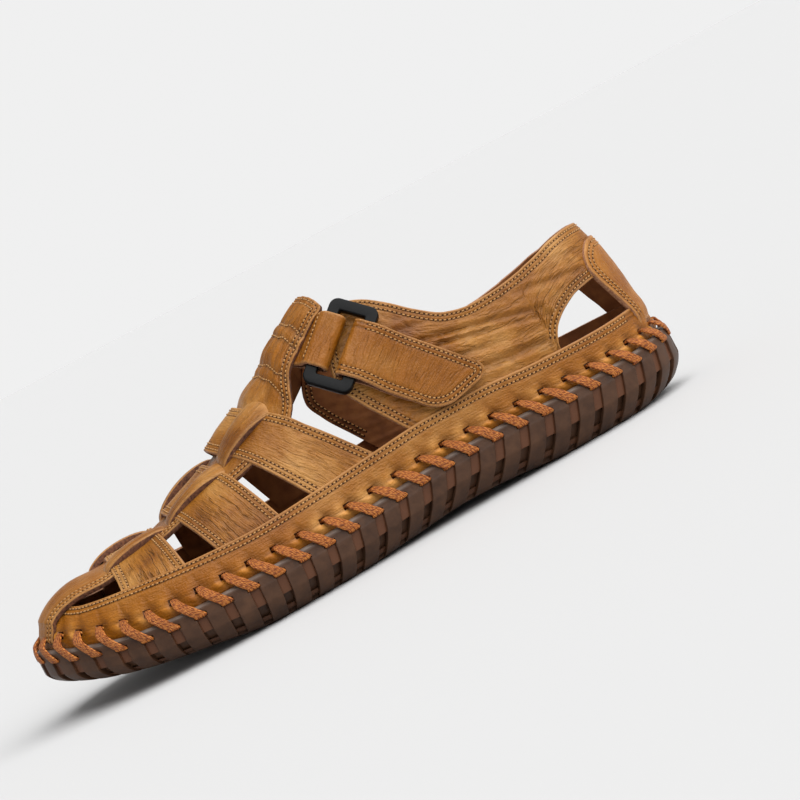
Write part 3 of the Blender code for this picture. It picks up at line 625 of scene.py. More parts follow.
def leather_sheet(base, outside, thick, way=None, closed=False, sewn=(), rows_at=(), holes=None, soft=0.6,
                  lengthwise=True):
    """Piece of leather on a grid: its worn face, its inner face and its cut edges.

    outside is the height of the worn face over the grid. sewn names the sides with seams, and rows_at gives
    the distances of their stitch rows from the edge. holes is a mask of the cells that are cut out. soft is
    the width of the shoulder beside a cut edge. The grain runs along the rows of the grid where lengthwise is
    true, and along its columns where it is false.
    """
    rows, cols = base.shape[:2]
    way = skin_normals(base, closed) if way is None else way
    outside = np.broadcast_to(np.asarray(outside, float), (rows, cols)).copy()
    sides = ("low", "high") if closed else SIDES
    rim_gap = np.min([side_gap(base, side) for side in sides], axis=0)
    inner = base + way * (outside - thick)[..., None]
    shade = np.zeros((rows, cols))
    if sewn:
        away = np.min([side_gap(base, side) for side in sewn], axis=0)
        channel = sewn_channel(away, rows_at)
        outside += channel
        # the channel is painted darker and the swelling paler: painted shade and painted highlight on the
        # relief
        shade += SEAM_DARK * np.minimum(channel, 0.0) + SEAM_PALE * np.maximum(channel, 0.0)
    shoulder = 1 - np.clip(rim_gap / soft, 0, 1)
    worn = base + way * (outside - soft * (1 - np.sqrt(1 - shoulder ** 2)) * EDGE_ROUND)[..., None]
    flat_worn, flat_inner = worn.reshape(-1, 3), inner.reshape(-1, 3)
    quads = grid_quads(rows, cols, closed)
    if holes is not None:
        quads = quads[~holes.ravel()]
    first = quads[len(quads) // 2]
    turn = np.cross(flat_worn[first[1]] - flat_worn[first[0]], flat_worn[first[3]] - flat_worn[first[0]])
    if turn @ way.reshape(-1, 3)[first[0]] < 0:
        quads = quads[:, ::-1]
    crown, edges, rims = cut_edges(quads, flat_worn, flat_inner)
    verts = np.concatenate((flat_worn, flat_inner, crown))
    faces = np.concatenate((quads, edges, quads[:, ::-1] + rows * cols))
    finish_of = np.repeat((0, 1, 2), (len(quads), len(edges), len(quads)))
    spare = np.zeros(len(verts) - rows * cols)
    rub = hump(rim_gap, 0.0, RUB_WIDTH)
    down, across = lengths(base[:, cols // 2])[:, None], lengths(base[rows // 2])[None, :]
    lay = (down, across) if lengthwise else (across, down)
    lay = np.stack(np.broadcast_arrays(*lay, np.zeros((1, 1))), -1).reshape(-1, 3)
    marks = {"shade": np.concatenate((shade.ravel(), spare)), "rub": np.concatenate((rub.ravel(), spare)),
             "lay": np.concatenate((lay, lay, lay[rims]))}
    return {"worn": worn, "way": way, "inner": inner, "verts": verts, "faces": faces, "finish_of": finish_of,
            "marks": marks}


def sew_line(sheet, side, away, low=0.0, high=1.0):
    """Line on the worn face of a sheet beside one of its sides, between two shares of that side's length."""
    worn, way = sheet["worn"], sheet["way"]
    line, ways = worn[SIDES[side]], way[SIDES[side]]
    inner = {"low": worn[1], "high": worn[-2], "first": worn[:, 1], "last": worn[:, -2]}[side]
    inward = np.cross(ways, unit(np.gradient(line, axis=0)))
    inward *= np.where(np.sum(inward * (inner - line)) < 0, -1.0, 1.0)
    length = lengths(line)
    kept = (length >= low * length[-1]) & (length <= high * length[-1])
    return settle(sheet, (line + unit(inward) * away)[kept])


def settle(sheet, line):
    """Line moved onto the worn face of a leather sheet, with the face's normals along it."""
    worn, way = sheet["worn"].reshape(-1, 3), sheet["way"].reshape(-1, 3)
    placed, ways = [], []
    for point in line:
        gap = np.sum((worn - point) ** 2, -1)
        near = np.argpartition(gap, 4)[:4]
        weight = 1 / (gap[near] + 1e-3)
        weight /= weight.sum()
        normal = unit(weight @ way[near])
        placed.append(point - normal * np.sum(weight * ((point - worn[near]) @ normal)))
        ways.append(normal)
    return np.array(placed), np.array(ways)


def at_length(line, ways, marks):
    """Points and normals of a line at distances along it."""
    run = lengths(line)
    spot = np.stack([np.interp(marks, run, line[:, c]) for c in range(3)], -1)
    normal = unit(np.stack([np.interp(marks, run, ways[:, c]) for c in range(3)], -1))
    return spot, normal


# pitch and length of a stitch, and thickness of its thread
STITCH_PITCH, STITCH_LENGTH, THREAD = 1.85, 1.36, 0.62
# one stitch: shares of its length, and its height, half-width and slant there; then the corners of its thread
STITCH_SHARES = np.array((0.0, 0.14, 0.5, 0.86, 1.0))
STITCH_ARCH = np.array((-0.5, 0.15, 0.4, 0.15, -0.5)) * THREAD
STITCH_HALF = np.array((0.30, 0.48, 0.52, 0.48, 0.30)) * THREAD
STITCH_SLANT = np.linspace(-0.2, 0.2, 5) * THREAD
STITCH_CORNERS = 6
# one needle hole, drawn as a dark disc of painted shadow: half its length and width, its height over the
# leather, and the step that gives its direction
PIT_LONG, PIT_WIDE, PIT_OVER, PIT_STEP = 0.58, 0.46, 0.07, 0.3
PIT_CORNERS = 8


def sew(name, lines, node):
    """Stitches of a piece in one mesh: short threads that dip in at both ends, painted shadow discs at the
    holes.
    """
    starts, ends, normals, holes, hole_ways, hole_runs = [], [], [], [], [], []
    for line, ways in lines:
        total = lengths(line)[-1]
        count = max(int(total / STITCH_PITCH), 1)
        middles = (np.arange(count) + 0.5) * total / count
        between = np.arange(count + 1) * total / count
        start, normal = at_length(line, ways, middles - STITCH_LENGTH / 2)
        end, _ = at_length(line, ways, middles + STITCH_LENGTH / 2)
        hole, hole_way = at_length(line, ways, between)
        ahead, _ = at_length(line, ways, between + PIT_STEP)
        behind, _ = at_length(line, ways, between - PIT_STEP)
        starts.append(start)
        ends.append(end)
        normals.append(normal)
        holes.append(hole)
        hole_ways.append(hole_way)
        hole_runs.append(ahead - behind)
    start, end, normal = np.concatenate(starts), np.concatenate(ends), np.concatenate(normals)
    aside = unit(np.cross(normal, unit(end - start)))
    turn = np.linspace(0, 2 * np.pi, STITCH_CORNERS, endpoint=False)
    mid = start[:, None] + (end - start)[:, None] * STITCH_SHARES[:, None]
    mid = mid + normal[:, None] * STITCH_ARCH[:, None] + aside[:, None] * STITCH_SLANT[:, None]
    around = np.cos(turn)[:, None] * aside[:, None, None] + np.sin(turn)[:, None] * normal[:, None, None]
    threads = (mid[:, :, None] + around * STITCH_HALF[:, None, None]).reshape(-1, 3)
    # two faces close each end of a thread
    caps = ((5, 4, 3, 0), (3, 2, 1, 0), (24, 27, 28, 29), (24, 25, 26, 27))
    each = np.concatenate((grid_quads(len(STITCH_SHARES), STITCH_CORNERS, True), caps))
    points = len(STITCH_SHARES) * STITCH_CORNERS
    faces = (each[None] + points * np.arange(len(start))[:, None, None]).reshape(-1, 4)
    hole, hole_way = np.concatenate(holes), np.concatenate(hole_ways)
    ahead = unit(np.concatenate(hole_runs))
    aside = unit(np.cross(hole_way, ahead))
    turn = np.linspace(0, 2 * np.pi, PIT_CORNERS, endpoint=False)[:, None]
    pits = hole[:, None] + hole_way[:, None] * PIT_OVER + PIT_LONG * np.cos(turn) * ahead[:, None]
    pits = (pits + PIT_WIDE * np.sin(turn) * aside[:, None]).reshape(-1, 3)
    each = np.array(((0, 1, 2, 3), (0, 3, 4, 7), (4, 5, 6, 7)))
    flat = (each[None] + PIT_CORNERS * np.arange(len(hole))[:, None, None]).reshape(-1, 4) + len(threads)
    return add_piece(name, np.concatenate((threads, pits)), np.concatenate((faces, flat)),
                     [WAXED_THREAD, NEEDLE_HOLE_SHADOW], node, np.repeat((0, 1), (len(faces), len(flat))),
                     crisp=80.0)


def leather_piece(name, sheet, finishes, node, marks=None):
    """Piece made from a leather sheet; marks are added to the sheet's own on its worn face."""
    every = dict(sheet["marks"])
    for mark, values in (marks or {}).items():
        spare = np.zeros(len(sheet["verts"]) - values.size)
        every[mark] = every.get(mark, 0.0) + np.concatenate((values.ravel(), spare))
    return add_piece(name, sheet["verts"], sheet["faces"], finishes, node, sheet["finish_of"], every)


# distances from an edge at which a grid has lines: beside a seam and beside a plain cut
SEAM_LINES = np.array((0.0, 0.25, 0.6, 1.05, 1.5, 1.95, 2.5, 3.05, 3.5, 3.95, 4.7, 5.7))
CUT_LINES = np.array((0.0, 0.3, 0.8))


def spread(total, near_start=True, near_end=True, step=1.15):
    """Shares of a length in millimetres, close together beside sewn ends and even between them."""
    start = SEAM_LINES if near_start else CUT_LINES
    end = total - (SEAM_LINES if near_end else CUT_LINES)[::-1]
    count = max(int((end[0] - start[-1]) / step), 2)
    between = np.linspace(start[-1], end[0], count + 1)[1:-1]
    return np.concatenate((start, between, end)) / total


def wrinkles(along, across, size):
    """Uneven fine folds that run along the first length, about size apart, between -1 and 1."""
    # the lengths of the waves have no common measure, so the folds do not repeat
    drift = 0.42 * np.sin(along / 19.0 + 0.8) + 0.23 * np.sin(along / 7.3 + across / 11.0)
    fine = np.sin(2 * np.pi * (across / size + drift))
    broad = np.sin(2 * np.pi * (across / (2.7 * size) + 0.7 * drift + 0.31))
    patch = np.sin(along / 13.7 + 1.9 * np.sin(across / 8.9)) * np.sin(across / 15.1 + along / 41.0)
    return (0.5 + 0.5 * patch) * (0.6 * fine + 0.4 * broad)


def crease(points, line, depth, wide):
    """Soft trough along a line seen from the side, with a ridge on each bank; points and line are x, z."""
    away = far_from(points, np.asarray(line, float))
    return depth * (0.55 * hump(away, 1.9 * wide, 0.9 * wide) - hump(away, 0.0, wide))


def tint(code):
    """sRGB hex colour as linear red, green, blue and alpha."""
    parts = [int(code[i:i + 2], 16) / 255 for i in (1, 3, 5)]
    return tuple(c / 12.92 if c <= 0.04045 else ((c + 0.055) / 1.055) ** 2.4 for c in parts) + (1.0,)


def per(size):
    """Texture scale that gives features of this size in millimetres."""
    return 1.0 / (size * MM)


def add_node(tree, kind, links, **settings):
    """Node with its settings; each link is a socket of another node or a plain value."""
    made = tree.nodes.new(kind)
    for key, value in settings.items():
        setattr(made, key, value)
    for socket, source in links.items():
        if isinstance(source, bpy.types.NodeSocket):
            tree.links.new(source, made.inputs[socket])
        else:
            made.inputs[socket].default_value = source
    return made


def new_finish(name, plain):
    """Material with one principled shader whose plain values are set on its own sockets."""
    finish = bpy.data.materials.new(name)
    finish.use_nodes = True
    tree = finish.node_tree
    shader = tree.nodes["Principled BSDF"]
    for socket, value in plain.items():
        shader.inputs[socket].default_value = value
    return finish, tree, shader


def waxed_leather(name, light, middle, deep, burnt):
    """Pull-up leather: drum-dyed hide stuffed with oil and wax and left smooth.

    The eye sees a cloudy golden tan that goes pale where it is rubbed, fine broken grain and a soft waxy
    gloss.
    Folds and creases are painted darker and bulges paler: painted shade and painted highlight on the relief.
    """
    finish, tree, shader = new_finish(name, {"IOR": 1.45, "Specular IOR Level": 0.26, "Coat Weight": 0.05,
                                             "Coat Roughness": 0.3, "Coat IOR": 1.4})
    where = add_node(tree, "ShaderNodeTexCoord", {}).outputs["Object"]
    lay = add_node(tree, "ShaderNodeAttribute", {}, attribute_name="lay").outputs["Vector"]
    cloud = add_node(tree, "ShaderNodeTexNoise", {"Vector": where, "Scale": per(30.0), "Detail": 5.0,
                                                  "Roughness": 0.6})
    hide = add_node(tree, "ShaderNodeValToRGB", {"Fac": cloud.outputs["Fac"]})
    ramp = hide.color_ramp
    ramp.elements[0].position, ramp.elements[0].color = 0.34, tint(deep)
    ramp.elements[1].position, ramp.elements[1].color = 0.66, tint(light)
    ramp.elements.new(0.5).color = tint(middle)
    burnish = add_node(tree, "ShaderNodeAttribute", {}, attribute_name="burnish")
    toned = add_node(tree, "ShaderNodeMix", {"Factor": burnish.outputs["Fac"], 6: hide.outputs["Color"],
                                             7: tint(burnt)}, data_type="RGBA", blend_type="MIX")
    # broken wrinkles follow the lay of the piece, about 2 mm apart and seven times as long, and wander 2 mm
    wander = add_node(tree, "ShaderNodeTexNoise", {"Vector": where, "Scale": per(13.0), "Detail": 2.0})
    bent = add_node(tree, "ShaderNodeVectorMath", {0: wander.outputs["Color"], 1: (2.2, 2.2, 0.0), 2: lay},
                    operation="MULTIPLY_ADD")
    drawn = add_node(tree, "ShaderNodeMapping", {"Vector": bent.outputs[0],
                                                 "Scale": (1 / 15.0, 1 / 2.0, 1.0)})
    wrinkle = add_node(tree, "ShaderNodeTexNoise", {"Vector": drawn.outputs[0], "Scale": 1.0, "Detail": 4.0,
                                                    "Roughness": 0.62})
    # fibres of the grain lie the same way, about 0.7 mm apart and 3 mm long
    fibre = add_node(tree, "ShaderNodeMapping", {"Vector": bent.outputs[0],
                                                 "Scale": (1 / 3.2, 1 / 0.7, 1.0)})
    hair = add_node(tree, "ShaderNodeTexNoise", {"Vector": fibre.outputs[0], "Scale": 1.0, "Detail": 2.0})
    crumple = add_node(tree, "ShaderNodeAttribute", {}, attribute_name="crumple").outputs["Fac"]
    # wrinkle troughs are painted darker, painted shade in the folds, as strongly as crumple says
    folded = add_node(tree, "ShaderNodeMapRange", {"Value": wrinkle.outputs["Fac"], "From Min": 0.34,
                                                   "From Max": 0.56, "To Min": -0.30, "To Max": 0.08})
    # sharp creases, 3.6 mm apart and 27 mm long: thin lines where a second noise passes its middle value;
    # they are bumped, and painted darker as painted shade
    split = add_node(tree, "ShaderNodeMapping", {"Vector": bent.outputs[0],
                                                 "Scale": (1 / 27.0, 1 / 3.6, 1.0)})
    crease_line = add_node(tree, "ShaderNodeTexNoise", {"Vector": split.outputs[0], "Scale": 1.0, "Detail": 3.0,
                                                  "Roughness": 0.55})
    crease_line = add_node(tree, "ShaderNodeMath", {0: crease_line.outputs["Fac"], 1: 0.5}, operation="SUBTRACT")
    crease_line = add_node(tree, "ShaderNodeMath", {0: crease_line.outputs[0]}, operation="ABSOLUTE")
    crease_line = add_node(tree, "ShaderNodeMapRange", {"Value": crease_line.outputs[0], "From Max": 0.06,
                                                  "To Min": -0.26, "To Max": 0.07})
    folded = add_node(tree, "ShaderNodeMath", {0: folded.outputs[0], 1: crease_line.outputs[0]}, operation="ADD")
    folded = add_node(tree, "ShaderNodeMath", {0: folded.outputs[0], 1: crumple}, operation="MULTIPLY")
    streaked = add_node(tree, "ShaderNodeMapRange", {"Value": hair.outputs["Fac"], "From Min": 0.3,
                                                     "From Max": 0.7, "To Min": 0.9, "To Max": 1.08})
    # shade brings each piece's painted shade and painted highlight: darker in seams, creases and hollows,
    # paler on bulges
    shade = add_node(tree, "ShaderNodeAttribute", {}, attribute_name="shade")
    strength = add_node(tree, "ShaderNodeMath", {0: shade.outputs["Fac"], 1: folded.outputs[0]},
                        operation="ADD")
    strength = add_node(tree, "ShaderNodeMath", {0: strength.outputs[0], 1: streaked.outputs[0]},
                        operation="ADD")
    strength = add_node(tree, "ShaderNodeMath", {0: strength.outputs[0], 1: 0.12}, operation="MAXIMUM")
    # the tan is scaled by the painted light and shade of the pieces and creases, and by the grain's streaks
    dyed = add_node(tree, "ShaderNodeVectorMath", {0: toned.outputs[2], 3: strength.outputs[0]},
                    operation="SCALE")
    rub = add_node(tree, "ShaderNodeAttribute", {}, attribute_name="rub")
    rubbed = add_node(tree, "ShaderNodeMath", {0: rub.outputs["Fac"], 1: 0.45}, operation="MULTIPLY")
    worn = add_node(tree, "ShaderNodeMix", {"Factor": rubbed.outputs[0], 6: dyed.outputs[0],
                                            7: tint("#b98a58")}, data_type="RGBA", blend_type="MIX")
    tree.links.new(worn.outputs[2], shader.inputs["Base Color"])
    gloss = add_node(tree, "ShaderNodeMapRange", {"Value": hair.outputs["Fac"], "From Min": 0.3,
                                                  "From Max": 0.7, "To Min": 0.52, "To Max": 0.36})
    tree.links.new(gloss.outputs[0], shader.inputs["Roughness"])
    # pores are about 0.3 mm on the hide; drawn three times coarser, because finer ones do not show
    pores = add_node(tree, "ShaderNodeTexVoronoi", {"Vector": where, "Scale": per(0.9)}, feature="F1")
    grain = add_node(tree, "ShaderNodeBump", {"Height": pores.outputs["Distance"], "Strength": 0.45,
                                              "Distance": 0.3 * MM})
    strands = add_node(tree, "ShaderNodeBump", {"Height": hair.outputs["Fac"], "Strength": 0.8,
                                                "Distance": 0.45 * MM, "Normal": grain.outputs[0]})
    relief = add_node(tree, "ShaderNodeMath", {0: crease_line.outputs[0], 1: 1.3, 2: wrinkle.outputs["Fac"]},
                      operation="MULTIPLY_ADD")
    relief = add_node(tree, "ShaderNodeMath", {0: relief.outputs[0], 1: crumple}, operation="MULTIPLY")
    skin = add_node(tree, "ShaderNodeBump", {"Height": relief.outputs[0], "Strength": 0.9,
                                             "Distance": 1.5 * MM, "Normal": strands.outputs[0]})
    tree.links.new(skin.outputs[0], shader.inputs["Normal"])
    return finish


TAN_LEATHER = waxed_leather("tan_pull_up_leather", "#a5753b", "#8a571a", "#6d3d09", "#834a00")


def fibrous(name, dark, pale, fibre_size, plain):
    """Open fibres, as on a cut edge, a flesh side or a thread: matt, mottled and softly napped."""
    finish, tree, shader = new_finish(name, plain)
    where = add_node(tree, "ShaderNodeTexCoord", {}).outputs["Object"]
    fibre = add_node(tree, "ShaderNodeTexNoise", {"Vector": where, "Scale": per(fibre_size), "Detail": 5.0})
    dye = add_node(tree, "ShaderNodeValToRGB", {"Fac": fibre.outputs["Fac"]})
    dye.color_ramp.elements[0].position, dye.color_ramp.elements[0].color = 0.32, tint(dark)
    dye.color_ramp.elements[1].position, dye.color_ramp.elements[1].color = 0.7, tint(pale)
    tree.links.new(dye.outputs["Color"], shader.inputs["Base Color"])
    nap = add_node(tree, "ShaderNodeBump", {"Height": fibre.outputs["Fac"], "Strength": 0.5,
                                            "Distance": 0.3 * MM})
    tree.links.new(nap.outputs[0], shader.inputs["Normal"])
    return finish


# cut edge of the thick band hide: dyed through, dark chestnut and matt
CUT_EDGE = fibrous("cut_band_edge", "#3d2014", "#74492f", 1.1, {"Roughness": 0.85, "IOR": 1.45})
# cut edge of the thinner strap hide: the pale pinkish middle of the skin shows
PALE_EDGE = fibrous("cut_strap_edge", "#7c5038", "#b08260", 0.9, {"Roughness": 0.8, "IOR": 1.45})
# lining of split pigskin: dull reddish chestnut with a short nap
PIGSKIN_LINING = fibrous("pigskin_lining", "#75431f", "#9d6232", 7.0, {"Roughness": 0.7, "IOR": 1.45})
# sewing thread of waxed polyester: twisted plies, straw brown with a silky gloss
WAXED_THREAD = fibrous("waxed_polyester_thread", "#8c5e2c", "#b98b50", 0.7, {"Roughness": 0.48, "IOR": 1.5})
# needle holes: painted shadow in the punched hide between two stitches
NEEDLE_HOLE_SHADOW = fibrous("punched_hide_shadow", "#241005", "#3f210d", 0.6, {"Roughness": 0.95, "IOR": 1.4})
# footbed of brushed leather over board: matt brown with a cloudy nap
BRUSHED_FOOTBED = fibrous("brushed_leather_footbed", "#4a2a15", "#75482a", 14.0,
                          {"Roughness": 0.8, "IOR": 1.45})
# finishes of a piece of leather: worn face, cut edge, inner face
STRAP_HIDE = [TAN_LEATHER, PALE_EDGE, PIGSKIN_LINING]
BAND_HIDE = [TAN_LEATHER, CUT_EDGE, PIGSKIN_LINING]
CLOSURE_HIDE = [TAN_LEATHER, PALE_EDGE, CUT_EDGE]


def make_rubber():
    """Moulded brown rubber: chocolate ribs with a satin sheen from the mould, and redder groove floors
    painted as lit.
    """
    finish, tree, shader = new_finish("moulded_brown_rubber", {"IOR": 1.5, "Specular IOR Level": 0.2})
    where = add_node(tree, "ShaderNodeTexCoord", {}).outputs["Object"]
    bloom = add_node(tree, "ShaderNodeTexNoise", {"Vector": where, "Scale": per(8.0), "Detail": 5.0,
                                                  "Roughness": 0.65})
    dye = add_node(tree, "ShaderNodeValToRGB", {"Fac": bloom.outputs["Fac"]})
    dye.color_ramp.elements[0].position, dye.color_ramp.elements[0].color = 0.32, tint("#38251a")
    dye.color_ramp.elements[1].position, dye.color_ramp.elements[1].color = 0.72, tint("#513726")
    groove = add_node(tree, "ShaderNodeAttribute", {}, attribute_name="groove")
    # groove floors are mixed toward a redder, paler colour on their lit blocks, painted light; the pits stay
    # darker, painted shade
    lit_groove_floor = add_node(tree, "ShaderNodeMix", {"Factor": groove.outputs["Fac"], 6: dye.outputs["Color"],
                                            7: tint("#5c3824")}, data_type="RGBA", blend_type="MIX")
    # grey mixed in: real dust in the tread, and on the rim's top a painted reflection of the pale
    # surroundings
    dust_and_sheen = add_node(tree, "ShaderNodeAttribute", {}, attribute_name="dust_and_sheen")
    dusty_and_sheened = add_node(tree, "ShaderNodeMix", {"Factor": dust_and_sheen.outputs["Fac"], 6: lit_groove_floor.outputs[2],
                                             7: tint("#857a72")}, data_type="RGBA", blend_type="MIX")
    tree.links.new(dusty_and_sheened.outputs[2], shader.inputs["Base Color"])
    gloss = add_node(tree, "ShaderNodeMapRange", {"Value": bloom.outputs["Fac"], "From Min": 0.3,
                                                  "From Max": 0.7, "To Min": 0.36, "To Max": 0.52})
    tree.links.new(gloss.outputs[0], shader.inputs["Roughness"])
    # mould grain of about 0.4 mm, drawn at 0.8 mm so that it shows
    grain = add_node(tree, "ShaderNodeTexNoise", {"Vector": where, "Scale": per(0.8), "Detail": 2.0})
    skin = add_node(tree, "ShaderNodeBump", {"Height": grain.outputs["Fac"], "Strength": 0.18,
                                             "Distance": 0.2 * MM})
    tree.links.new(skin.outputs[0], shader.inputs["Normal"])
    return finish


def make_braid():
    """Flat braid of waxed cotton: short strands dive under each other and show as bright broken flecks."""
    finish, tree, shader = new_finish("waxed_cotton_braid", {"Roughness": 0.6, "IOR": 1.48,
                                                             "Specular IOR Level": 0.35})
    lay = add_node(tree, "ShaderNodeAttribute", {}, attribute_name="lay").outputs["Vector"]
    where = add_node(tree, "ShaderNodeTexCoord", {}).outputs["Object"]
    # flecks are about 0.46 mm wide and 1.6 mm long; lay gives the length and width of the lace in millimetres
    flecked = add_node(tree, "ShaderNodeMapping", {"Vector": lay, "Scale": (1 / 1.6, 1 / 0.46, 1.0)})
    strand = add_node(tree, "ShaderNodeTexVoronoi", {"Vector": flecked.outputs[0], "Scale": 1.0,
                                                     "Randomness": 0.75},
                      feature="F1", voronoi_dimensions="2D")
    fluff = add_node(tree, "ShaderNodeTexNoise", {"Vector": where, "Scale": per(2.5), "Detail": 4.0})
    mixed = add_node(tree, "ShaderNodeMath", {0: fluff.outputs["Fac"], 1: -0.3,
                                              2: strand.outputs["Distance"]}, operation="MULTIPLY_ADD")
    # the ramp paints each strand bright on its crown and dark where it dives under the next: painted
    # highlight and painted shade, over the real mottling of the fluff
    dye = add_node(tree, "ShaderNodeValToRGB", {"Fac": mixed.outputs[0]})
    dye.color_ramp.elements[0].position, dye.color_ramp.elements[0].color = 0.0, tint("#c47e38")
    dye.color_ramp.elements[1].position, dye.color_ramp.elements[1].color = 0.55, tint("#66310c")
    dye.color_ramp.elements.new(0.2).color = tint("#9c5218")
    tree.links.new(dye.outputs["Color"], shader.inputs["Base Color"])
    relief = add_node(tree, "ShaderNodeBump", {"Height": strand.outputs["Distance"], "Strength": 0.9,
                                               "Distance": 0.5 * MM}, invert=True)
    tree.links.new(relief.outputs[0], shader.inputs["Normal"])
    return finish


def make_black_steel():
    """Steel ring, pressed flat and powder-coated black: a fine orange-peel skin with a satin highlight."""
    finish, tree, shader = new_finish("powder_coated_steel", {"Base Color": tint("#060708"), "IOR": 1.5,
                                                              "Specular IOR Level": 0.12})
    where = add_node(tree, "ShaderNodeTexCoord", {}).outputs["Object"]
    peel = add_node(tree, "ShaderNodeTexNoise", {"Vector": where, "Scale": per(0.8), "Detail": 2.0})
    gloss = add_node(tree, "ShaderNodeMapRange", {"Value": peel.outputs["Fac"], "To Min": 0.24,
                                                  "To Max": 0.38})
    tree.links.new(gloss.outputs[0], shader.inputs["Roughness"])
    skin = add_node(tree, "ShaderNodeBump", {"Height": peel.outputs["Fac"], "Strength": 0.15,
                                             "Distance": 0.1 * MM})
    tree.links.new(skin.outputs[0], shader.inputs["Normal"])
    return finish


BROWN_RUBBER, COTTON_BRAID, BLACK_STEEL = make_rubber(), make_braid(), make_black_steel()


# stations between which the middle line of the sole runs
SPINE_ENDS = (42.0, 244.0)


def sole_spine(points):
    """Point on the middle line of the sole for each point of its outline."""
    rows = np.array(OUTLINE)
    x = np.clip(points[..., 0], *SPINE_ENDS)
    return np.stack((x, np.interp(x, rows[:, 0], 0.5 * (rows[:, 1] - rows[:, 2]))), -1)


# half-widths of the groove between two ribs and of the lace slot at its top
GROOVE_HALF, SLOT_HALF = 2.05, 2.75
SLOT_DEPTH = 3.2
# lines of the side on each half of a groove, as distances from its middle, and the bevel of the rib there
GROOVE_LINES = np.array((0.55, 1.2, 1.75, GROOVE_HALF, GROOVE_HALF + 0.1, GROOVE_HALF + 0.32, SLOT_HALF,
                         SLOT_HALF + 0.08, SLOT_HALF + 0.3, 3.7, 4.6))
BEVEL_DEPTH, BEVEL_AT, BEVEL_WIDE = 0.22, GROOVE_HALF + 0.1, 0.12
# top of the side, from the cup over the rim down to the foot of the slots
CUP_TOP = (
    # inset, way under the rim, share of the groove's depth, of the slot's depth, grey of the painted sheen
    (CUP_INSET, CUP_DEPTH, 0.0, 0.0, 0.0),
    (CUP_INSET, 0.5, 0.0, 0.0, 0.0),
    (4.3, 0.05, 0.0, 0.0, 0.2),
    (3.3, 0.0, 0.0, 0.0, 0.3),
    (2.5, 0.15, 0.0, 0.0, 0.5),
    (1.75, 0.75, 0.0, 0.0, 0.4),
    (1.5, 1.1, 0.0, 0.0, 0.1),
    (1.4, 1.9, 0.0, 0.0, 0.0),
    (1.32, 2.7, 0.0, 0.0, 0.0),
    (1.3, 2.78, 0.0, 1.0, 0.0),
    (1.05, 4.4, 0.6, 1.0, 0.0),
    (1.03, 4.5, 0.6, 0.0, 0.0),
    (0.9, SLOT_FOOT, 0.6, 0.0, 0.0),
)
# side from the tread to the foot of the slots: its round foot, and how much of the grooves' lean it has
SIDE_INSET = (
    # share of height, inset
    (0.0, 11.5),
    (0.03, 9.6),
    (0.08, 7.7),
    (0.14, 6.1),
    (0.22, 4.6),
    (0.3, 3.4),
    (0.42, 2.0),
    (0.62, 0.75),
    (1.0, 0.8),
)
SIDE_LEAN = (
    # share of height, share of the lean
    (0.0, 1.0),
    (0.22, 0.8),
    (0.62, 0.35),
    (1.0, 0.0),
)
# rows of this side; they lie close together at the edges of the pits
SIDE_SHARES = (0.97, 0.9, 0.82, 0.74, 0.66, 0.6, 0.585, 0.57, 0.5, 0.42, 0.35, 0.3, 0.285, 0.27, 0.22, 0.17,
               0.155, 0.14, 0.1, 0.06, 0.03, 0.0)
# each groove has a pit between these shares of the side's height, a block below it and a pit at its foot
PIT_SHARES, FOOT_PIT = (0.28, 0.58), 0.15
# distance from heel and toe within which the lean of the grooves turns over
LEAN_TURN = 14.0
# wavy line of the tread: its mean way in from the edge, its swing and its length
WAVE_IN, WAVE_SWING, WAVE_LENGTH = 14.5, 2.6, 46.0
TREAD_RINGS = 34
side_inset, = columns(SIDE_INSET)
side_lean, = columns(SIDE_LEAN)


def groove_depth(share):
    """Depth of a groove at a share of the side's height."""
    in_pit = PIT_SHARES[0] < share < PIT_SHARES[1]
    deep = 0.6 + 0.4 * (share < PIT_SHARES[1]) + 0.75 * in_pit + 0.6 * (share < FOOT_PIT)
    return GROOVE_DEPTH * deep * float(ease(0.0, 0.1, share))


def groove_floor(share):
    """How much of the redder floor colour, painted as light, a groove has at a share of the side's height."""
    lit = 0.7 if share > PIT_SHARES[1] else (0.5 if FOOT_PIT < share < PIT_SHARES[0] else 0.0)
    return lit * float(ease(0.05, 0.15, share))


def tread_relief(s, flat, inward):
    """Depth of the tread and the dust in it: teeth at the edge, bars, a wavy line and flecks inside it."""
    x, y = flat[:, 0], flat[:, 1]
    past_wave = inward - WAVE_IN - WAVE_SWING * np.sin(2 * np.pi * s / WAVE_LENGTH)
    teeth = ease(-0.35, 0.35, -np.cos(4 * np.pi * s / PITCH))
    teeth = teeth * ease(0.3, 1.5, inward) * (1 - ease(6.5, 8.0, inward))
    bars = ease(-0.3, 0.3, np.cos(6 * np.pi * s / PITCH))
    bars = bars * ease(-5.0, -4.0, past_wave) * (1 - ease(-1.6, -0.8, past_wave))
    line = hump(past_wave, 0.0, 0.8)
    inner = ease(0.4, 1.6, past_wave)
    fleck = np.sin(x * 1.9 + 2.2 * np.sin(y * 0.63)) * np.sin(y * 1.7 + x * 0.4)
    relief = 1.2 * teeth + 1.3 * bars - 0.2 * line + inner * (0.6 + 0.6 * fleck)
    return np.maximum(relief, 0.0), 0.4 * inner * (0.5 - 0.5 * fleck) + 0.3 * line


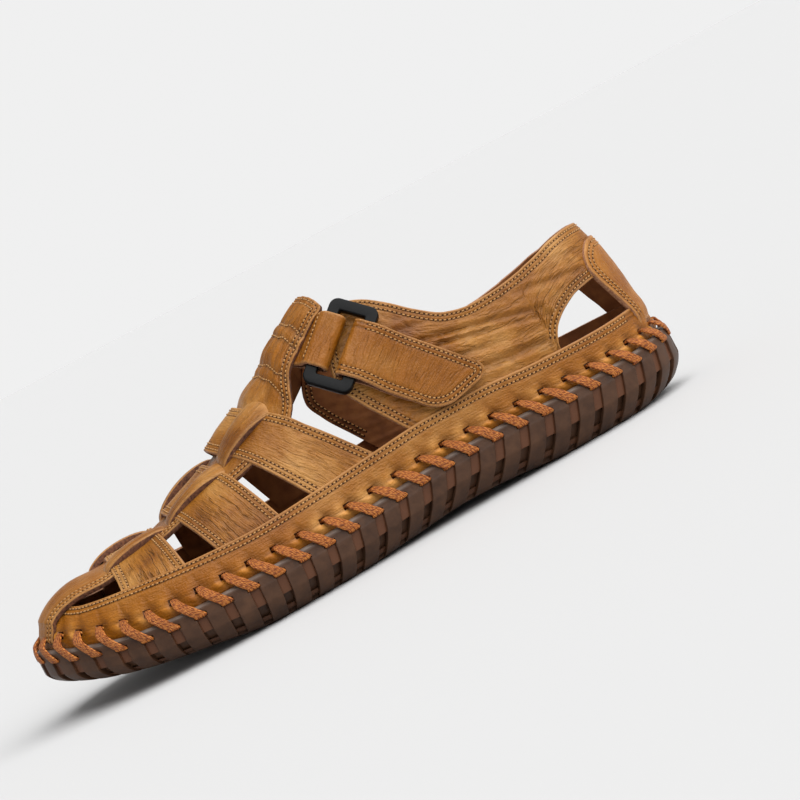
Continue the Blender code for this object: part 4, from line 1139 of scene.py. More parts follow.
def make_outsole():
    """Cup sole: flat ribs with crisp edges, grooves with a block in each, lace slots and the tread."""
    offsets = np.concatenate((-GROOVE_LINES[::-1], [0.0], GROOVE_LINES, [PITCH / 2]))
    aside = np.abs(np.tile(offsets, WHIPS))
    s = (SLOTS[:, None] + offsets).ravel()
    signed = np.where(s > AROUND / 2, s - AROUND, s)
    groove = (aside < GROOVE_HALF + 0.05) * 1.0
    in_slot = (aside < SLOT_HALF + 0.04) * 1.0
    bevel = BEVEL_DEPTH * hump(aside, BEVEL_AT, BEVEL_WIDE)
    place = station_round(s)
    rings, floors, dust_and_sheen_rows = [], [], []
    for inset, down, share, slot, dust_and_sheen in CUP_TOP:
        sunk = np.maximum(groove * GROOVE_DEPTH * share, SLOT_DEPTH * slot * in_slot) + bevel * share
        rings.append(np.concatenate((edge(s, inset + sunk), (rim(place) - down)[:, None]), 1))
        floors.append(groove * share * (1 - slot))
        # this grey on the rim's top is a painted reflection of the pale surroundings
        dust_and_sheen_rows.append(dust_and_sheen * (0.75 + 0.25 * np.sin(s * 0.9)))
    for share in SIDE_SHARES:
        moved = s + float(side_lean(share)) * lean_shift(place) * np.tanh(signed / LEAN_TURN)
        there = station_round(moved)
        sunk = groove * groove_depth(share) + bevel * float(ease(0.0, 0.2, share))
        z = tread(there) + share * (rim(there) - SLOT_FOOT - tread(there))
        rings.append(np.concatenate((edge(moved, float(side_inset(share)) + sunk), z[:, None]), 1))
        floors.append(groove * groove_floor(share))
        dust_and_sheen_rows.append(np.zeros(len(s)))
    foot = rings[-1]
    spine = sole_spine(foot)
    drop = foot[:, 2] - tread(station(foot[:, 0]))
    for k in np.linspace(1.0, 0.0, TREAD_RINGS)[1:]:
        flat = spine + (foot[:, :2] - spine) * k
        inward = np.linalg.norm(foot[:, :2] - flat, axis=1)
        relief, dust_and_sheen = tread_relief(s, flat, inward)
        z = tread(station(flat[:, 0])) + drop * k * k + relief
        rings.append(np.concatenate((flat, z[:, None]), 1))
        floors.append(np.zeros(len(s)))
        dust_and_sheen_rows.append(dust_and_sheen)
    cup_edge = rings[0]
    spine = sole_spine(cup_edge)
    cup_floor = []
    for k in (0.0, 0.5):
        flat = spine + (cup_edge[:, :2] - spine) * k
        level = rim(station(flat[:, 0])) - CUP_DEPTH
        cup_floor.append(np.concatenate((flat, (level * (1 - k) + cup_edge[:, 2] * k)[:, None]), 1))
    rings = cup_floor + rings
    spare = np.zeros(len(cup_floor) * len(s))
    marks = {"groove": np.concatenate((spare, np.concatenate(floors))),
             "dust_and_sheen": np.concatenate((spare, np.concatenate(dust_and_sheen_rows)))}
    faces = grid_quads(len(rings), len(s), True)[:, ::-1]
    add_piece("outsole_cup", np.concatenate(rings), faces, [BROWN_RUBBER], "outsole",
              marks=marks, crisp=38.0)


# rounded edge of the insole: further inset and height; and its dishes: depth, station and half-length
INSOLE_EDGE = ((0.0, 0.0), (0.0, 2.6), (0.2, 3.1), (0.7, INSOLE_THICK))
INSOLE_DISHES = ((1.0, 42.0, 26.0), (0.7, 205.0, 30.0))
INSOLE_POINTS, INSOLE_RINGS = 260, 22


def make_insole():
    """Footbed board with a rounded edge and a shallow dish under the heel and the ball of the foot."""
    s = np.linspace(0, AROUND, INSOLE_POINTS, endpoint=False)
    floor = rim(station_round(s)) - CUP_DEPTH + GAP
    rings = []
    for further, up in INSOLE_EDGE:
        rings.append(np.concatenate((edge(s, INSOLE_INSET + further), (floor + up)[:, None]), 1))
    foot = rings[-1]
    spine = sole_spine(foot)
    for k in np.linspace(1.0, 0.0, INSOLE_RINGS)[1:]:
        flat = spine + (foot[:, :2] - spine) * k
        level = rim(station(flat[:, 0])) - CUP_DEPTH + GAP + INSOLE_THICK
        dish = sum(deep * hump(flat[:, 0], at, half) for deep, at, half in INSOLE_DISHES)
        z = level * (1 - k * k) + foot[:, 2] * k * k - dish * (1 - k ** 4)
        rings.append(np.concatenate((flat, z[:, None]), 1))
    faces = grid_quads(len(rings), len(s), True)
    add_piece("insole_footbed", np.concatenate(rings), faces, [BRUSHED_FOOTBED], "insole")


HOLES = SLOTS + HOLE_AHEAD
HOLE_MIDDLE = 0.5 * (HOLE_FOOT + HOLE_TOP)
DOUBLE_ROW = (ROW_NEAR, ROW_FAR)
TOE_ARC = float(np.interp(TOE_TIP_Y, TIP[:, 1], TIP_ARC))
# round the toe the lace holes lie nearer to the sole by this much, over this length to each side of its tip
TOE_DROP, TOE_DROP_WIDE = 1.7, 55.0
# cells of the rand for each turn of the lace, how many of them lie behind a hole, and which are cut out
RAND_CELLS, CELLS_BEHIND, CELLS_CUT = 14, 3.0, (3, 7)
# rows of the rand below and beside its holes, as heights over the rim
UNDER_HOLE = (-3.0, -2.0, -1.2, -0.5, 0.2, 0.8, 1.4, 2.0, 2.6)
BESIDE_HOLE = (HOLE_FOOT, 4.0, 4.8, HOLE_TOP)
# typical height of the rand above its holes, for the spacing of its rows there
OVER_HOLE_TALL = 9.6
# worn face of the rand over the skin, how much its foot is tucked in, and how far ahead of a hole it rolls up
RAND_OUT, RAND_TUCK, ROLL_AHEAD = 3.2, 0.5, 4.2
# length of the rand's seam that the heel counter hides to each side of the heel
SEAM_HIDDEN = 29.0


def hole_drop(s):
    """How much nearer to the sole the lace holes lie round the toe."""
    return TOE_DROP * hump(np.asarray(s), TOE_ARC, TOE_DROP_WIDE)


def in_turn(s):
    """Distance along the edge brought into one turn of the lace, from half a pitch behind to half ahead."""
    return np.mod(s + PITCH / 2, PITCH) - PITCH / 2


def make_rand():
    """Leather rand round the shoe: a hole for each turn of the lace, puckers and a double seam."""
    step = PITCH / RAND_CELLS
    s = HOLES[0] - CELLS_BEHIND * step + step * np.arange(WHIPS * RAND_CELLS)
    place = station_round(s)
    low, tall = rim(place), rand_top(place) - rim(place)
    sunk = hole_drop(s)
    under_hole = np.array(UNDER_HOLE)[:, None] * (1 - sunk / HOLE_FOOT)
    beside_hole = np.array(BESIDE_HOLE)[:, None] - sunk
    shares_over = spread(OVER_HOLE_TALL, False, True, 0.8)[1:, None]
    over_hole = HOLE_TOP - sunk + (tall - HOLE_TOP + sunk) * shares_over
    up = np.concatenate((under_hole, beside_hole, over_hole))
    base = wall(s + 0 * up, low + up)
    past_hole = in_turn(s - HOLES[0]) + 0 * up
    uneven = 0.75 + 0.25 * np.sin(s * 0.37) * np.sin(s * 0.119 + 1.0)
    dimple = hump(past_hole, 0.0, 3.0) * hump(up, HOLE_MIDDLE - sunk, 2.2)
    # the lace pulls the leather down at its hole, and it rolls up in a bulge ahead of the next one
    past_roll = in_turn(past_hole - ROLL_AHEAD)
    roll = hump(past_roll, 0.7 * (up - 2.4), 2.6) * hump(up, 2.3, 1.4)
    swell = hump(past_roll, 0.6, 3.0) * hump(up, 5.2, 2.2)
    nip = hump(past_roll, 0.5 * (up - 2.4), 2.6) * hump(up, 4.1, 0.55)
    # a short fold slants up from each hole, with a bank on both sides
    slant = past_hole - 0.5 * (up - 6.0)
    pull = hump(slant, 0.0, 0.8) * hump(up, 8.0, 2.2)
    bank = hump(np.abs(slant), 1.8, 0.9) * hump(up, 7.8, 2.2)
    lift = uneven * (-0.9 * dimple + 1.3 * roll + 0.5 * swell - 0.45 * nip - 0.22 * pull + 0.18 * bank)
    outside = RAND_OUT - RAND_TUCK * (1 - ease(-3.0, -0.5, up)) + lift
    cell = np.arange(len(s)) % RAND_CELLS
    cut = np.zeros((len(up) - 1, len(s)), bool)
    hole_rows = slice(len(UNDER_HOLE), len(UNDER_HOLE) + len(BESIDE_HOLE) - 1)
    cut[hole_rows] = (cell >= CELLS_CUT[0]) & (cell < CELLS_CUT[1])
    sheet = leather_sheet(base, outside, WALL, closed=True, sewn=("high",), rows_at=DOUBLE_ROW, holes=cut,
                          lengthwise=False)
    x = base[..., 0]
    burnish = (0.25 + 0.6 * ease(120.0, 215.0, x)) * (1 - 0.35 * ease(6.0, 12.0, up))
    burnish = burnish + 0.2 * ease(262.0, 282.0, x) + 0.4 * (1 - ease(60.0, 110.0, x))
    # rolls and swellings are painted paler and less burnished, a painted highlight; dimples, folds, nips and
    # the tucked foot below the rim's top are painted darker, painted shade
    burnish = np.clip(burnish - 0.9 * roll - 0.5 * swell, 0, 1)
    pale = uneven * np.clip(roll + 0.45 * swell, 0, 1)
    dark = uneven * (0.55 * dimple + 0.2 * pull + 0.5 * nip) + 0.3 * (1 - ease(-1.2, 0.4, up))
    leather_piece("rand", sheet, STRAP_HIDE, "upper",
                  {"shade": 0.95 * pale - dark, "burnish": burnish, "crumple": 0.07 + 0 * up})
    whole = {key: np.concatenate((sheet[key], sheet[key][:, :1]), 1) for key in ("worn", "way")}
    from_heel = np.abs(np.mod(s + AROUND / 2, AROUND) - AROUND / 2)
    shown = from_heel > SEAM_HIDDEN
    order = np.roll(np.arange(len(s)), -int(np.argmax(~shown)))
    order = order[shown[order]]
    lines = []
    for away in DOUBLE_ROW:
        line, normals = sew_line(whole, "high", away)
        lines.append((line[order], normals[order]))
    sew("rand_stitches", lines, "upper")


# station of the throat, and the stations over which the front edge of the quarter comes forward
THROAT = COLLAR[-1][0]
FORWARD_FROM, FORWARD_OVER = 62.0, 55.0
# typical height of the quarter, for the spacing of its rows
QUARTER_TALL = 52.0
# height above which the lower seam of the quarter shows, and its least distance from the middle of the heel
LOW_SEAM_OVER, LOW_SEAM_ASIDE = 42.0, 14.0
QUARTER_CREASES = (
    # depth, width, then station and height along each fold
    (1.1, 1.5, ((84.0, 47.4), (70.0, 45.6), (54.8, 44.3))),
    (1.1, 1.2, ((99.6, 67.8), (74.3, 62.4), (48.9, 56.2))),
    (0.95, 1.1, ((93.8, 63.1), (62.5, 56.6), (46.9, 52.8))),
    (0.7, 1.3, ((109.4, 75.4), (93.8, 73.9))),
    (0.5, 1.2, ((120.0, 62.0), (96.0, 56.5), (78.0, 53.5))),
    (0.5, 1.2, ((56.0, 66.5), (36.0, 63.0), (26.0, 62.0))),
)


def make_quarter():
    """Quarter and collar from the lateral throat round the heel to the medial throat, creased by the foot."""
    front, back = float(edge_at(THROAT, 1)), float(edge_at(THROAT, -1))
    s = front + (back - front) * spread(front - back, step=1.2)
    place = edge(s, SKIN_INSET)[:, 0]
    side = np.where(s > 0, 1, -1)
    share = spread(QUARTER_TALL, step=1.0)
    lowered = np.clip((place - 8.0) / 14.0, 0, 1) * (0.6 + 0.4 * ease(60.0, 84.0, place))
    low = level_on(s, collar_foot)
    high = level_on(s, collar_top) - MEDIAL_DROP * np.where(side < 0, lowered, 0.0)
    z = low + (high - low) * share[:, None]
    near_front = np.clip((place - FORWARD_FROM) / FORWARD_OVER, 0, 1) ** 1.5
    ahead = quarter_bulge(share)[:, None] + np.where(side < 0, MEDIAL_FORWARD, 0.0)
    base = wall(edge_at(place + ahead * near_front, side), z)
    flat = base[..., (0, 2)]
    folds = sum(crease(flat, line, depth, wide) for depth, wide, line in QUARTER_CREASES)
    fine = wrinkles(flat[..., 0] + 0.25 * flat[..., 1], flat[..., 1] - 0.2 * flat[..., 0], 3.8)
    quiet = ease(1.5, 8.0, high - z)
    outside = WALL + quiet * (0.95 * folds + 0.16 * fine)
    sheet = leather_sheet(base, outside, WALL, sewn=("high", "first", "last", "low"), rows_at=DOUBLE_ROW,
                          lengthwise=False)
    # creases and wrinkles are painted darker in their troughs and paler on their banks: painted shade and
    # highlight
    leather_piece("quarter", sheet, STRAP_HIDE, "upper",
                  {"shade": quiet * (0.16 * folds + 0.07 * fine), "crumple": 0.1 + 0.38 * quiet})
    lines = []
    for away in DOUBLE_ROW:
        lines.append(sew_line(sheet, "high", away, 0.01, 0.99))
        lines.append(sew_line(sheet, "first", away, 0.12, 0.94))
        lines.append(sew_line(sheet, "last", away, 0.12, 0.94))
        # the medial front seam also shows on the inside, through the throat
        lines.append(sew_line({"worn": sheet["inner"], "way": -sheet["way"]}, "last", away, 0.12, 0.94))
        line, ways = sew_line(sheet, "low", away)
        for hand in (1, -1):
            kept = (line[:, 2] > LOW_SEAM_OVER) & (line[:, 1] * hand > LOW_SEAM_ASIDE)
            lines.append((line[kept], ways[kept]))
    sew("quarter_stitches", lines, "upper")


# heel counter: foot and height, width round the heel, thickness, and how much further in its seams lie
COUNTER_FOOT = COUNTER[0][0]
COUNTER_TALL = COUNTER[-1][0] - COUNTER_FOOT
COUNTER_ROUND, COUNTER_WALL, COUNTER_ROWS_IN = 66.0, 2.2, 0.6


def make_counter():
    """Heel counter over the back of the quarter, with a thick cut edge and a double seam behind it."""
    height = COUNTER_FOOT + COUNTER_TALL * spread(COUNTER_TALL, False, True, 1.2)
    k = np.zeros(height.shape)
    for _ in range(12):
        fx = under(counter_front(height), k)
        k = reach(fx, height)
    reach_out = edge_at(fx, 1.0)
    turn = 2 * spread(COUNTER_ROUND, step=1.25) - 1
    base = wall(reach_out[:, None] * turn, height[:, None] + 0 * turn)
    # it stands off the rand at its foot and lies down on the quarter above
    raised = 4.1 - 0.7 * ease(37.0, 43.0, height) - 0.8 * (1 - ease(COUNTER_FOOT, 35.0, height))
    fine = wrinkles(base[..., 1], base[..., 2], 7.0)
    outside = raised[:, None] + 0.10 * fine
    sides = ("first", "last", "high")
    seams = [row + COUNTER_ROWS_IN for row in DOUBLE_ROW]
    sheet = leather_sheet(base, outside, COUNTER_WALL, sewn=sides, rows_at=seams, soft=0.35)
    # the whole counter is painted paler, a painted highlight for its lit back, and its wrinkles paler on top
    # and darker between them, painted light and shade
    leather_piece("heel_counter", sheet, STRAP_HIDE, "upper",
                  {"shade": 0.3 + 0.06 * fine, "crumple": 0.12 + 0 * fine})
    lines = [sew_line(sheet, side, away, 0.05, 0.95) for side in sides for away in seams]
    sew("heel_counter_stitches", lines, "upper")


# stations of the four seams across the tongue, and the swellings beside them: station and half-length
TONGUE_ROWS = (158.0, 153.5, 143.0, 138.0)
TONGUE_PUFFS = ((155.8, 1.6), (148.2, 3.4), (140.5, 1.9), (132.0, 4.0))
# first and last row of the band, as ways back from the toe, and its foot at the toe over the rim
BAND_FIRST, BAND_LAST = 4.4, 156.7
BAND_TOE_FOOT = 0.8
# typical width of the band and its height on the wall of the toe, for the spacing of its rows
BAND_WIDE, BAND_TOE_TALL = 40.0, 14.0
# end of the tongue: how much its lateral corner is longer than the rest, and how much it is cut back all over
TONGUE_SLANT, TONGUE_CUT = 3.9, 1.5
# swelling at the base of the tongue: height, station and half-length
TONGUE_BASE = (2.8, 165.0, 6.5)
# how much lower the tongue lies on the medial side, and how much the band is raised over the toe
TONGUE_LEAN, TOE_RAISE = 3.0, 1.0


def band_toe(share):
    """Rows of the band below its first one, down the wall of the toe to the lace."""
    first = band_grid((BAND_FIRST,), share)[0]
    s = np.interp(first[:, 1], TIP[:, 1], TIP_ARC)
    foot = rim(station_round(s)) + BAND_TOE_FOOT
    down = spread(BAND_TOE_TALL, step=1.0)[:-1, None]
    z = foot + (first[:, 2] - foot) * down
    drift = first - wall(s, first[:, 2])
    return wall(s + 0 * z, z) + drift * ease(0.0, 1.0, down)[..., None]


def make_band():
    """Centre band from the sole at the toe over the instep to the tongue, gathered by four cross seams."""
    back = BAND_FIRST + (BAND_LAST - BAND_FIRST) * spread(BAND_LAST - BAND_FIRST, step=1.2)
    share = 2 * spread(BAND_WIDE, step=1.0) - 1
    rows = np.swapaxes(over_ridge(np.swapaxes(band_grid(back, share), 0, 1), share), 0, 1)
    base = np.concatenate((band_toe(share), rows))
    # the tongue's end is cut slantwise, longer on the outer side
    longer = (TONGUE_SLANT * np.clip(share, 0, 1) - TONGUE_CUT) * (1 - ease(123.0, 142.0, base[..., 0]))
    base = base + unit(base[-1] - base[-4]) * longer[..., None]
    x, y = base[..., 0], base[..., 1]
    medial = np.clip(-share, 0, 1) * np.clip((160.0 - x) / 20.0, 0, 1)
    high, at, half = TONGUE_BASE
    outside = band_lift(x) - TONGUE_LEAN * medial + BAND_WALL
    outside += high * hump(x, at, half) * (1 - ease(0.3, 0.65, np.abs(share)))
    outside += TOE_RAISE * ease(255.0, 275.0, x) - 1.1 * (1 - ease(146.0, 157.0, x))
    # down the wall of the toe it draws in under the lace
    toe_rows = len(base) - len(back)
    outside[:toe_rows] -= 1.9 * (1 - np.linspace(0.0, 1.0, toe_rows) ** 2)[:, None]
    bend = x + 0.12 * np.abs(y)
    across = sum(hump(bend, row, 0.8) for row in TONGUE_ROWS)
    puff = sum(hump(bend, row, wide) for row, wide in TONGUE_PUFFS)
    gather = np.sin(2 * np.pi * share * 4.2 + 0.7 * np.sin(x / 6.0)) * (1 - ease(160.0, 170.0, x))
    fine = wrinkles(x, y, 5.5)
    lift = -0.4 * across + 0.32 * puff + 0.22 * gather * (1 - np.clip(across, 0, 1)) + 0.08 * fine
    sheet = leather_sheet(base, outside + lift, BAND_WALL, sewn=("high", "last", "first"), rows_at=DOUBLE_ROW)
    seamed = 1 - ease(150.0, 158.0, x)
    # painted shade along the cross seams and painted highlight on the puffs and the gathers' tops, following
    # the relief
    shade = 0.1 * puff - 0.4 * across + 0.1 * gather + 0.04 * fine
    burnish = 0.45 * ease(205.0, 262.0, x) + 0.5 * (1 - ease(150.0, 175.0, x))
    leather_piece("centre_band", sheet, BAND_HIDE, "upper",
                  {"shade": shade, "burnish": burnish, "crumple": 0.25 + 0.15 * seamed})
    lines = []
    for row in TONGUE_ROWS:
        spot = np.argmin(np.abs(bend - row), axis=0)
        line = np.stack([sheet["worn"][r, c] for c, r in enumerate(spot)])
        ways = np.stack([sheet["way"][r, c] for c, r in enumerate(spot)])
        lines.append((line[6:-6:3], ways[6:-6:3]))
    for away in DOUBLE_ROW:
        lines.append(sew_line(sheet, "high", away, 0.04, 0.96))
        for side in ("last", "first"):
            line, ways = sew_line(sheet, side, away)
            lines.append((line[3:-3], ways[3:-3]))
    sew("centre_band_stitches", lines, "upper")


def on_band(x, y):
    """Share of the band's half-width at which points of the skin lie."""
    aside = y - ridge_side(np.clip(x, RIDGE_HEEL, RIDGE_TOE))
    return aside / np.where(aside > 0, band_lateral(x), band_medial(x))


# how strongly each side strap is crumpled along its length, and how far it bulges up between the strips
STRAP_CRUMPLE = {"front": 0.9, "middle": 0.65, "rear": 0.36}
STRAP_BULGE = {"front": 1.2, "middle": 2.4, "rear": 4.4}
# length and width of a side strap, for the spacing of its grid and its folds
SIDE_STRAP_LONG, SIDE_STRAP_WIDE = 150.0, 26.0
# inner face of a strap over the skin, and how much further off it lies over the band
STRAP_OFF, STRAP_OVER_BAND = 0.35, 0.7


def make_straps():
    """Three side straps that pass over the band between its slits and under the strips, with double seams."""
    turns = 2 * spread(SIDE_STRAP_LONG, False, False, 1.1) - 1
    shares = spread(SIDE_STRAP_WIDE, step=0.8)
    wide = SIDE_STRAP_WIDE * shares
    calm = ease(4.6, 7.0, SIDE_STRAP_WIDE * np.minimum(shares, 1 - shares))[None, :]
    lines = []
    for name, *stations in STRAPS:
        base = over_ridge(strap_grid(*stations, turns, shares), turns)
        x, y = base[..., 0], base[..., 1]
        over = np.abs(on_band(x, y))
        outside = STRAP_OFF + (STRAP_OVER_BAND + band_lift(x)) * (1 - ease(0.92, 1.2, over)) + STRAP_WALL
        bulge = (1 - ease(0.0, 0.55, over)) * (1 - 0.3 * ease(0.4, 1.0, shares))
        length = lengths(base[:, len(shares) // 2])[:, None]
        crumple = STRAP_CRUMPLE[name] * ease(0.9, 1.2, over)
        fine = wrinkles(length + 4.0 * np.sin(wide / 7.0), wide[None, :] + 0 * x, 2.5) * crumple * calm
        outside = outside + STRAP_BULGE[name] * bulge + 0.32 * fine
        sheet = leather_sheet(base, outside, STRAP_WALL, sewn=("first", "last"), rows_at=DOUBLE_ROW)
        # wrinkles are painted paler on top and darker between them, painted light and shade on the relief
        leather_piece("strap_" + name, sheet, STRAP_HIDE, "upper",
                      {"shade": 0.16 * fine, "crumple": 0.1 + 0.9 * crumple * (0.3 + 0.7 * calm)})
        for side in ("first", "last"):
            lines += [sew_line(sheet, side, away, 0.02, 0.98) for away in DOUBLE_ROW]
    sew("strap_stitches", lines, "upper")


# thickness and width of a strip, and how far its ends lie beyond the edges of its strap
STRIP_WALL, STRIP_WIDE, STRIP_LAP = 2.7, 9.0, 3.3
# how far each strip is pulled up, lateral and medial
STRIP_RISE = {"front": (3.6, 4.9), "middle": (3.4, 5.3), "rear": (3.4, 2.6)}
# how far the front and rear end of each strip are moved toward the toe, lateral and medial
STRIP_SHIFT = {
    "front": ((0.4, -0.5), (6.0, 3.5)),
    "middle": ((-0.5, -0.5), (-0.6, -1.5)),
    "rear": ((-1.5, -4.5), (-4.0, -7.0)),
}
# how far down the side each lateral strip is moved, as a share of the band's half-width
STRIP_ASIDE = {"front": 0.03, "middle": 0.05, "rear": -0.03}


def make_strips():
    """Strips of the band between two slits, pulled up over each strap on both sides of the ridge."""
    tip = float(toe_front(TOE_TIP_Y))
    first, last = STRIP_SHARES
    for name, _, _, front_top, rear_top, _ in STRAPS:
        for order, (hand, side) in enumerate((("lateral", 1), ("medial", -1))):
            ahead, behind = STRIP_SHIFT[name][order]
            ahead, behind = front_top + ahead + STRIP_LAP, rear_top + behind - STRIP_LAP
            run = spread(ahead - behind, False, False, 0.7)
            back = tip - (ahead + (behind - ahead) * run)
            share = first + (last - first) * spread(STRIP_WIDE, False, False, 0.6)
            share = share + (STRIP_ASIDE[name] if side > 0 else 0.0)
            base = band_grid(back, side * share)
            arch = np.sin(np.pi * np.clip((run - 0.02) / 0.96, 0, 1))[:, None] ** 0.55
            across = 2 * (share - share[0]) / (share[-1] - share[0]) - 1
            pinch = 1 - 0.22 * (1 - arch) ** 2 * across[None, :] ** 2
            crown = STRIP_RISE[name][order] - 0.2 + 0.55 * (1 - across ** 2)[None, :]
            outside = band_lift(base[..., 0]) + BAND_WALL - 0.1 + arch * crown
            fine = wrinkles(base[..., 0], base[..., 1], 3.0)
            sheet = leather_sheet(base, outside * pinch + 0.10 * fine * arch, STRIP_WALL, soft=0.5)
            burnish = 0.35 * ease(205.0, 262.0, base[..., 0])
            # wrinkles are painted paler on top and darker between them, painted light and shade on the relief
            leather_piece(f"strip_{name}_{hand}", sheet, BAND_HIDE, "upper",
                          {"shade": 0.08 * fine, "burnish": burnish, "crumple": 0.35 + 0 * fine})


def hole_line(hole, off):
    """Edge distance, inset and height of a point in line with a hole of the rand, off the skin by off."""
    z = rim(station_round(hole)) + HOLE_MIDDLE - float(hole_drop(np.mod(hole, AROUND)))
    point = wall(hole, z) + wall_way(hole, z) * off
    out = edge_way(hole)
    inward = edge(hole, 0.0) - point[:2]
    return hole - float(inward @ (out[1], -out[0])), float(inward @ out), point[2]


# points of the lace's path in each turn, steps between two of them, and points round its section
LACE_PATH, LACE_STEPS, LACE_ROUND = 10, 4, 16
# how far ahead of the middle of a hole the lace comes out, and how much further for each mm of its drop
OUT_AHEAD, OUT_FURTHER = 0.7, 0.5
# how much narrower the lace is where it comes out of its hole, where on its path, and over how much of it
SQUEEZE, SQUEEZE_AT, SQUEEZE_OVER = 0.55, 0.6, 0.95


def make_lacing():
    """Flat braided lace: out through a hole, down over rand and rim, in through a slot and up inside."""
    keys = []
    for slot in SLOTS[::-1]:
        hole, following = slot + HOLE_AHEAD, slot + HOLE_AHEAD - PITCH
        low = rim(station_round(slot))
        drop = float(hole_drop(np.mod(hole, AROUND)))
        top = hole + OUT_AHEAD + OUT_FURTHER * drop
        following = following + OUT_AHEAD + OUT_FURTHER * float(hole_drop(np.mod(following, AROUND)))
        shares = (0.74 + 0.05 * drop, 0.48 + 0.07 * drop, 0.22 + 0.015 * drop)
        mid = [k * top + (1 - k) * slot for k in shares]
        # each point is the distance along the edge, the inset from it and the height
        keys += [
            hole_line(top, 2.2),
            hole_line(top, 4.4 - 0.5 * drop),
            (mid[0], 2.5, rim(station_round(mid[0])) + 2.9 - 0.3 * drop),
            (mid[1], 1.1 + 0.2 * drop, rim(station_round(mid[1])) + 0.9 - 0.1 * drop),
            (mid[2], 0.75, rim(station_round(mid[2])) - 1.5),
            (slot, 0.7, low - 3.3),
            (slot, 1.5, low - 3.95),
            (slot, 7.5, low - 3.9),
            (0.5 * (slot + following), 8.6, low + 0.2),
            hole_line(following, -0.2),
        ]
    keys = np.array(keys)
    laps = np.arange(len(keys) * LACE_STEPS) / LACE_STEPS
    i = np.floor(laps).astype(int)
    u = (laps - i)[:, None]
    p0, p1, p2, p3 = (keys[np.mod(i + d, len(keys))].copy() for d in (-1, 0, 1, 2))
    for p in (p0, p2, p3):
        p[:, 0] += np.round((p1[:, 0] - p[:, 0]) / AROUND) * AROUND
    path = p1 + 0.5 * u * (p2 - p0 + u * (2 * p0 - 5 * p1 + 4 * p2 - p3 + u * (3 * (p1 - p2) + p3 - p0)))
    flat = np.stack((-path[:, 1], path[:, 2]), 1)
    run = unit(np.roll(flat, -1, 0) - np.roll(flat, 1, 0))
    across = np.stack((-run[:, 1], run[:, 0]), 1)
    out = edge_way(path[:, 0])
    thick_way = np.concatenate((out * across[:, :1], across[:, 1:]), 1)
    turn = np.linspace(0, 2 * np.pi, LACE_ROUND, endpoint=False)
    wide = np.sign(np.cos(turn)) * np.abs(np.cos(turn)) ** 0.5 * LACE_WIDTH / 2
    deep = np.sign(np.sin(turn)) * np.abs(np.sin(turn)) ** 0.7 * LACE_THICK / 2
    phase = np.mod(laps, LACE_PATH)
    squeeze = 1 - SQUEEZE * sum(hump(phase, SQUEEZE_AT + lap, SQUEEZE_OVER) for lap in (0, LACE_PATH))
    s = path[:, :1] + wide * squeeze[:, None]
    z = path[:, 2:] + rim(station_round(s)) - rim(station_round(path[:, :1]))
    centre = np.concatenate((edge(s, path[:, 1:2] + 0 * s), z[..., None]), -1)
    verts = centre + thick_way[:, None] * deep[:, None]
    along = lengths(centre.mean(1))
    lay = np.stack(np.broadcast_arrays(along[:, None], wide[None, :], np.zeros((1, 1))), -1)
    faces = closed_quads(*verts.shape[:2])
    add_piece("edge_lace", verts.reshape(-1, 3), faces, [COTTON_BRAID], "edge_lacing",
              marks={"lay": lay.reshape(-1, 3)}, crisp=70.0)


def ring_frame():
    """Middle of the ring and its long, short and outward directions; short points at the strap's free end."""
    near = beside(np.array((0.0, 0.6)) + RING["station"], np.array((RING["height"], RING["height"])))
    higher = beside(RING["station"], RING["height"] + 0.6)
    out = unit(np.cross(near[1] - near[0], higher - near[0]))
    out = out if out[1] > 0 else -out
    ends = beside(np.array([e[0] for e in RING_ENDS]), np.array([e[1] for e in RING_ENDS]))
    long = ends[1] - ends[0]
    long = unit(long - out * np.dot(long, out))
    short = np.cross(long, out)
    short = short if short[2] < 0 else -short
    return near[0] + out * RING["lift"], long, short, out


RING_AT, RING_LONG, RING_SHORT, RING_OUT = ring_frame()
BAR_AWAY = RING["short"] / 2 - RING["bar"] / 2


# depth under the ring's plane within which the skin lies
SKIN_WITHIN = 30.0


def drop_to_skin(points):
    """Points of the ring's plane moved straight in along its normal until they meet the skin."""
    low, high = np.zeros(points.shape[:-1]), np.full(points.shape[:-1], SKIN_WITHIN)
    for _ in range(30):
        depth = 0.5 * (low + high)
        tried = points - RING_OUT * depth[..., None]
        outside = tried[..., 1] > beside(tried[..., 0], tried[..., 2])[..., 1]
        low, high = np.where(outside, depth, low), np.where(outside, high, depth)
    return points - RING_OUT * low[..., None]


def skin_way(points):
    """Outward normal of the lateral skin at points seen from the side."""
    x, z = points[..., 0], points[..., 2]
    here = beside(x, z)
    way = unit(np.cross(beside(x + 0.5, z) - here, beside(x, z + 0.5) - here))
    return np.where(way[..., 1:2] > 0, way, -way)


# the free end of the strap is cut slantwise, and the strap turns up a little on its way to it
END_SLANT, TURN_UP = 12.8, 0.045
# radius of the corners of its free end, and how far from the ring's bar its cut starts to tell
END_CORNER, END_FROM = 7.0, 20.0
# way from the bar over which a strap leaves the plane of the ring and settles on the skin
SETTLE = (3.5, 13.5)
# runs of the strap and the tab over and under the ring's bar: way from the bar, height over the skin
STRAP_OVER = ((STRAP_END, 4.3), (41.0, 4.3), (32.0, 4.3), (24.0, 4.3), (16.0, 4.5), (10.0, 5.3), (6.0, 6.5))
STRAP_UNDER = ((6.0, 3.95), (12.0, 3.95), (20.0, 3.95), (28.0, 3.95))
TAB_OVER = ((10.5, 1.7), (7.8, 1.8), (6.0, 2.5), (4.5, 4.2), (3.5, 6.2))
TAB_UNDER = ((3.5, 3.5), (4.5, 2.6), (6.0, 1.4), (7.8, 1.3), (10.2, 1.3))
# width of the tab, and how far its stitch row lies from its end
TAB_WIDTH, TAB_ROW = STRAP_WIDTH - 1.0, 10.8


